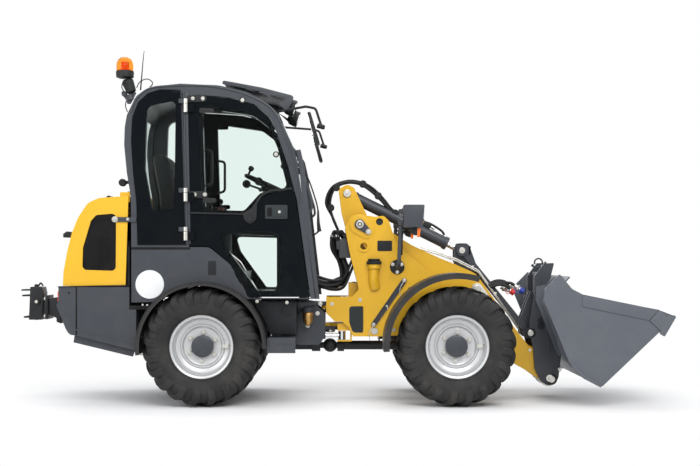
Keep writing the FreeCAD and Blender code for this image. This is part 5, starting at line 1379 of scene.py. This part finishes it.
def hoses():
    """Hose bundle from the cab's foot to the tower, and the bundle over the ear to the tilt cylinder."""
    bundle, over, fittings, ties = shapes(4)
    for k in range(12):
        y = -0.088 + 0.016 * k
        swing = 0.020 * math.sin(k * 2.1) + 0.010 * math.cos(k * 5.3)
        drop = 0.020 * math.sin(k * 1.7)
        bundle.pipe([(-0.135, y * 1.25, 0.822 + drop), (-0.060, y * 1.2, 0.806 + drop),
            (0.018 + swing, y, 0.828 + drop), (0.058 + swing, y, 0.892 + swing),
            (0.040 + swing, y * 0.9, 0.975), (0.000 + swing * 1.4, y * 0.9, 1.065),
            (-0.012 + swing, y * 0.9, 1.150)], 0.0125, 10)
        fittings.drum((-0.012 + swing, y * 0.9, 1.145), (-0.010 + swing, y * 0.9, 1.165), 0.011, 12, 0.002)
        bundle.pipe([(-0.010 + swing, y * 0.9, 1.155), (0.012 + swing, y * 0.85, 1.190),
            (0.055, y * 0.8, 1.150 + drop), (0.115, y * 0.7, 1.100 + drop * 2)], 0.0105, 10)
    valve = Shape()
    valve.block((0.020, -0.120, 1.000), (0.105, 0.120, 1.135), 0.006)
    valve.block((0.000, -0.112, 1.060), (0.030, 0.112, 1.120), 0.006)
    for k in range(7):
        valve.drum((0.060, -0.105 + 0.035 * k, 1.130), (0.060, -0.105 + 0.035 * k, 1.165), 0.012, 14, 0.003)
    valve.piece("control_valve", FRONT, "cast_iron")
    for low, y in ((0.872, -0.112), (0.812, -0.100), (0.800, 0.100), (0.862, 0.115)):
        bundle.pipe([(-0.140, y, low), (-0.030, y, low - 0.030), (0.052, y * 0.96, low - 0.012),
            (0.105, y * 0.9, low + 0.10), (0.128, y * 0.8, low + 0.16)], 0.009, 10)
    for y, grow in ((-0.022, 0.0), (0.0, 0.012), (0.022, 0.0), (-0.011, 0.026), (0.012, 0.028)):
        over.pipe([(0.012, y, 1.200), (-0.030, y, 1.300), (-0.046 - grow, y, 1.400),
            (-0.012 - grow * 0.6, y, 1.500 + grow * 0.3), (0.075, y, 1.540 + grow * 0.4),
            (0.170, y, 1.530 + grow * 0.5), (0.250, y, 1.480 + grow), (0.330, y, 1.405 + grow),
            (0.395, y, 1.325 + grow), (0.450, y, 1.300 + grow * 0.6)], 0.0095, 10)
    for x, z in ((-0.040, 1.360), (0.000, 1.505), (0.190, 1.530), (0.300, 1.445), (0.420, 1.322)):
        ties.stud((x, z), -0.036, 0.036, 0.026, 18, 0.004)
    across_hinge = (CAB, FRONT, (-0.135, 0, 0.80), (0.0, 0, 0.88))
    over_ear = (FRONT, "tilt_barrel", (0.0, 0, 1.47), (0.16, 0, 1.56))
    bundle.piece("centre_hoses", across_hinge, "hose_rubber")
    over.piece("tilt_hoses", over_ear, "hose_rubber")
    ties.piece("hose_clips", over_ear, "plastic")
    fittings.piece("hose_ends", FRONT, "zinc")


# ---------------------------------------------------------------- loader

def arm_parts():
    """Pivot keepers, pipes along the arm, hoses to the couplers and the couplers with their caps."""
    zinc, pipes, hose, red, blue, seam, keeper = shapes(7)
    face = -0.130
    keep = (LEVER[0] + 0.062, LEVER[1] - 0.048)
    keeper.prism(stadium(LEVER, keep, 0.040, 0.018), face - 0.012, face - 0.001, 0.002)
    zinc.stud(LEVER, face - 0.011, face - 0.018, 0.026, 32, 0.003)
    zinc.bolt((keep[0], face - 0.012, keep[1]), (0, -1, 0), 0.018, 0.009)
    for y in (-0.112, -0.124):
        shift = (y + 0.118) * 1.2
        pipes.mesh_tube(bent_line([(0.600, y, 1.070 + shift), (0.700, y, 1.040 + shift),
            (0.850, y, 0.985 + shift), (1.005, y, 0.905 + shift), (1.100, y, 0.770 + shift),
            (1.150, y, 0.700 + shift), (1.290, y, 0.500 + shift)], 0.05), 0.0055, 10)
    for x, z in ((0.800, 1.005), (0.960, 0.932), (1.120, 0.745)):
        pipes.block((x - 0.010, -0.131, z - 0.012), (x + 0.010, -0.105, z + 0.014), 0.002)
    for y, rise in ((-0.100, 0.0), (-0.082, 0.014), (-0.118, -0.014)):
        hose.pipe([(1.060, y, 0.815), (1.095, y, 0.810 + rise), (1.140, y * 1.02, 0.825 + rise),
            (1.190, y * 1.04, 0.820 + rise), (1.225, y * 1.06, 0.795 + rise)], 0.0105, 12)
    for (x, z), cap in (((1.225, 0.772), red), ((1.290, 0.782), blue)):
        zinc.drum((x - 0.030, -0.108, z + 0.022), (x + 0.008, -0.112, z - 0.004), 0.0165, 18, 0.003)
        zinc.hexagon((x - 0.012, -0.110, z + 0.010), (x + 0.000, -0.111, z + 0.002), 0.038)
        cap.drum((x + 0.006, -0.112, z - 0.002), (x + 0.034, -0.115, z - 0.022), 0.0215, 20, 0.004)
        cap.pipe([(x + 0.010, -0.128, z + 0.002), (x - 0.008, -0.134, z - 0.024),
            (x - 0.026, -0.130, z - 0.018), (x - 0.030, -0.122, z + 0.006)], 0.0028, 6)
    hose.pipe([(1.195, -0.105, 0.825), (1.235, -0.105, 0.822), (1.262, -0.106, 0.806)], 0.0105, 12)
    seam.prism([(0.470, 1.119), (0.532, 1.0845), (0.728, 0.9935), (0.834, 0.9515), (0.980, 0.886),
        (0.980, 0.8835), (0.834, 0.949), (0.728, 0.991), (0.532, 1.082), (0.470, 1.1165)], face - 0.0012,
        face + 0.001, 0.0004)
    keeper.both_sides().piece("lever_keepers", ARM, "zinc")
    pipes.piece("arm_pipes", ARM, "zinc")
    hose.piece("coupler_hoses", ARM, "hose_rubber")
    red.piece("red_coupler_cap", ARM, "red_cap")
    blue.piece("blue_coupler_cap", ARM, "blue_cap")
    seam.both_sides().piece("arm_edges", ARM, "yellow_paint")
    for x, z in ((1.365, 0.350), (1.420, 0.250)):
        zinc.stud((x, z), face, face - 0.004, 0.010, 16, 0.001)
    zinc.both_sides().piece("arm_pins", ARM, "zinc")


def collar(foot, head, distance, length, radius, name, body):
    """A ring round a cylinder, at a distance from its foot pin."""
    run = Vector((head[0] - foot[0], 0, head[1] - foot[1])).normalized()
    start = Vector((foot[0], 0, foot[1])) + run * distance
    ring = Shape().drum(start, start + run * length, radius, 40, 0.003)
    ring.piece(name, body, "grey_paint")


def cylinder_parts():
    """Glands, ports and hoses of the cylinders, and keepers of the linkage's pins."""
    collar(EAR, TOP, 0.772, 0.030, 0.0475, "tilt_gland", "tilt_barrel")
    collar(EAR, TOP, 0.055, 0.020, 0.0465, "tilt_collar", "tilt_barrel")
    collar(RAM_FOOT, RAM_HEAD, 0.632, 0.030, 0.0505, "lift_gland", "lift_barrel")
    block, ends, hose = shapes(3)
    run = Vector((TOP[0] - EAR[0], 0, TOP[1] - EAR[1])).normalized()
    up = Vector((-run.z, 0, run.x))
    at = Vector((EAR[0], 0, EAR[1]))
    for distance, long in ((0.440, 0.110), (0.580, 0.060)):
        start = at + run * distance + up * 0.040
        block.prism([tuple((start + up * h + run * d).xz)
            for d, h in ((0, 0), (long, 0), (long, 0.030), (0, 0.038))], -0.024, 0.024, 0.004)
    ends.drum(at + run * 0.535 + up * 0.070, at + run * 0.580 + up * 0.062, 0.011, 14, 0.002)
    ends.drum(at + run * 0.640 + up * 0.060, at + run * 0.675 + up * 0.055, 0.011, 14, 0.002)
    hose.pipe([at + run * 0.40 + up * 0.085, at + run * 0.47 + up * 0.078, at + run * 0.54 + up * 0.070],
        0.010, 10)
    hose.pipe([at + run * 0.58 + up * 0.066, at + run * 0.63 + up * 0.075, at + run * 0.72 + up * 0.066,
        at + run * 0.755 + up * 0.048], 0.0085, 10)
    block.piece("tilt_valve", "tilt_barrel", "plastic")
    ends.piece("tilt_ports", "tilt_barrel", "zinc")
    hose.piece("tilt_hose_ends", "tilt_barrel", "hose_rubber")
    pin = Shape()
    pin.stud(TOP, -0.0895, -0.096, 0.022, 32, 0.002)
    pin.bolt((TOP[0], -0.095, TOP[1]), (0, -1, 0), 0.016, 0.005)
    pin.both_sides().piece("link_pin_caps", "link_pin", "zinc")


def lever_parts():
    """The lever's stop horns."""
    lever = Shape()
    lever.prism([(TOP[0] + 0.050, TOP[1] - 0.040), (TOP[0] + 0.050, TOP[1] + 0.030, 0.006),
        (TOP[0] + 0.066, TOP[1] + 0.034, 0.004), (TOP[0] + 0.062, TOP[1] - 0.030, 0.006)], 0.038, 0.056,
        0.002)
    lever.both_sides().piece("lever_horns", "tilt_lever", "grey_paint")


def hitch_parts():
    """Pin heads, bosses, guard ring and ribs of the quick hitch."""
    zinc, dark, ring, edge = shapes(4)
    for (x, z), r in (((1.365, 0.473), 0.022), ((1.513, 0.148), 0.024)):
        zinc.stud((x, z), -0.157, -0.170, r, 32, 0.003)
        zinc.stud((x, z), -0.169, -0.174, r * 0.45, 20, 0.002)
        dark.stud((x, z), -0.156, -0.162, r + 0.016, 36, 0.003)
    for x, z in [(1.568, 0.215), (1.478, 0.752)]:
        zinc.prism([(x - 0.016, z + 0.012, 0.006), (x + 0.002, z + 0.016, 0.006),
            (x + 0.016, z + 0.002, 0.006), (x - 0.002, z - 0.018, 0.006)], -0.178, -0.170, 0.002)
    dark.stud((1.441, 0.522), -0.156, -0.163, 0.024, 32, 0.002)
    ring.mesh_tube(beside(0, arc_points((1.449, 0.968), 0.028, -25, 205, 20)), 0.006, 10)
    ring.prism([(1.390, 0.948, 0.008), (1.411, 0.961, 0.006), (1.417, 0.943), (1.467, 0.940),
        (1.496, 0.977, 0.004), (1.507, 0.967, 0.004), (1.482, 0.925, 0.01), (1.424, 0.923, 0.01)], -0.014,
        0.014, 0.003)
    ring.piece("hitch_ring", HITCH, "grey_paint")
    dark.stud((1.4400, 0.560), -0.157, -0.163, 0.024, 28, 0.002)
    dark.both_sides().piece("hitch_bosses", HITCH, "black_paint")
    zinc.both_sides().piece("hitch_pin_heads", HITCH, "zinc")
    edge.prism([(1.452, 0.905, 0.004), (1.460, 0.905, 0.004), (1.425, 0.790, 0.01), (1.398, 0.720, 0.01),
        (1.392, 0.720), (1.418, 0.792, 0.01)], 0.1555, 0.1600, 0.001)
    edge.prism([(1.500, 0.340, 0.01), (1.512, 0.343, 0.01), (1.540, 0.190, 0.01), (1.528, 0.186, 0.01)],
        0.1555, 0.1620, 0.001)
    edge.prism([(1.436, 0.705, 0.01), (1.448, 0.708, 0.01), (1.506, 0.355, 0.01), (1.494, 0.352, 0.01)],
        0.1555, 0.1620, 0.001)
    edge.both_sides().piece("hitch_ribs", HITCH, "grey_paint")


def bucket_parts():
    """Side bands, cutting edge, heel strips and ribs on the shell's back."""
    band, edge, wear, rib = shapes(4)
    y = 0.625
    band.prism([(1.631, 0.753), (2.133, 0.658), (2.068, 0.588), (1.625, 0.680)], -y - 0.007, -y + 0.001,
        0.002)
    band.prism([(2.135, 0.658), (2.212, 0.598), (2.149, 0.514), (2.072, 0.587)], -y - 0.010, -y + 0.001,
        0.002)
    band.both_sides().piece("bucket_bands", HITCH, "bucket_paint")
    edge.prism([(2.1610, 0.5090), (2.247, 0.6130), (2.239, 0.6200), (2.150, 0.5160)], -y + 0.001, y - 0.001,
        0.001)
    for side in (-1, 1):
        edge.prism([(2.135, 0.500, 0.01), (2.170, 0.480, 0.006), (2.2465, 0.6120, 0.003),
            (2.190, 0.625, 0.01)], side * (y + 0.0005), side * (y + 0.011), 0.001)
    edge.piece("cutting_edge", HITCH, "bucket_paint")
    wear.prism([(1.545, 0.300, 0.01), (1.565, 0.308, 0.01), (1.640, 0.232, 0.05), (1.752, 0.160),
        (1.751, 0.142), (1.630, 0.205, 0.05), (1.591, 0.249, 0.06)], -y - 0.006, -y + 0.001, 0.001)
    wear.both_sides().piece("heel_strips", HITCH, "bucket_paint")
    for at in (-0.40, 0.40):
        rib.prism([(1.452, 0.730, 0.01), (1.400, 0.715, 0.02), (1.540, 0.330, 0.04), (1.600, 0.255, 0.04),
            (1.640, 0.250), (1.592, 0.330)], at - 0.006, at + 0.006, 0.001)
    rib.piece("bucket_ribs", HITCH, "bucket_paint")


BUILDERS = [wheels, cab_trim, cab_edges, door_parts, seat_piece, cab_controls, roof_parts, beacon_piece,
    hood_parts, rear_parts, coupling, under_cab, tower_parts, lock_bar_piece, headlamp_parts, hoses,
    arm_parts, cylinder_parts, lever_parts, hitch_parts, bucket_parts]


# ---------------------------------------------------------------- all together

PLAIN_FINISH = {
    "rear_chassis": "grey_paint", "rear_axle": "cast_iron", "engine": "cast_iron",
    "counterweight": "grey_paint", "tow_hitch": "black_paint", "cab_lower": "grey_paint",
    "roof": "grey_paint", "cab_frame": "grey_paint", "cab_glass": "cab_glass", "seat_base": "plastic",
    "seat": "seat_cloth", "steering_column": "lining", "rear_fenders": "fender_plastic",
    "tail_lamps": "red_lens", "beacon": "amber_lens", "work_lamps": "grey_paint", "mirrors": "plastic",
    "propshaft_rear": "black_paint", "hood": "yellow_paint", "hood_grilles": "mesh_black",
    "door_right": "black_gloss", "door_left": "black_gloss", "door_glass_right": "cab_glass",
    "door_glass_left": "cab_glass", "front_chassis": "yellow_paint", "front_axle": "cast_iron",
    "front_fenders": "fender_plastic", "headlamps": "grey_paint", "lock_bar": "grey_paint",
    "propshaft_front": "black_paint", "lift_arm": "yellow_paint", "lever_pin": "zinc",
    "tilt_lever": "grey_paint", "link_pin": "grey_paint", "tilt_link": "grey_paint", "hitch_pins": "zinc",
    "quick_hitch": "grey_paint", "bucket": "bucket_paint", "tilt_barrel": "grey_paint",
    "tilt_rod": "chrome", "lift_barrel": "grey_paint", "lift_rod": "chrome", "steer_barrel": "black_paint",
    "steer_rod": "chrome"}


def main():
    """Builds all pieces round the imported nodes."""
    set_camera()
    set_studio()
    make_finishes()
    for node, look in PLAIN_FINISH.items():
        if node in NODES:
            dress(node, look)
    for build in BUILDERS:
        build()


main()
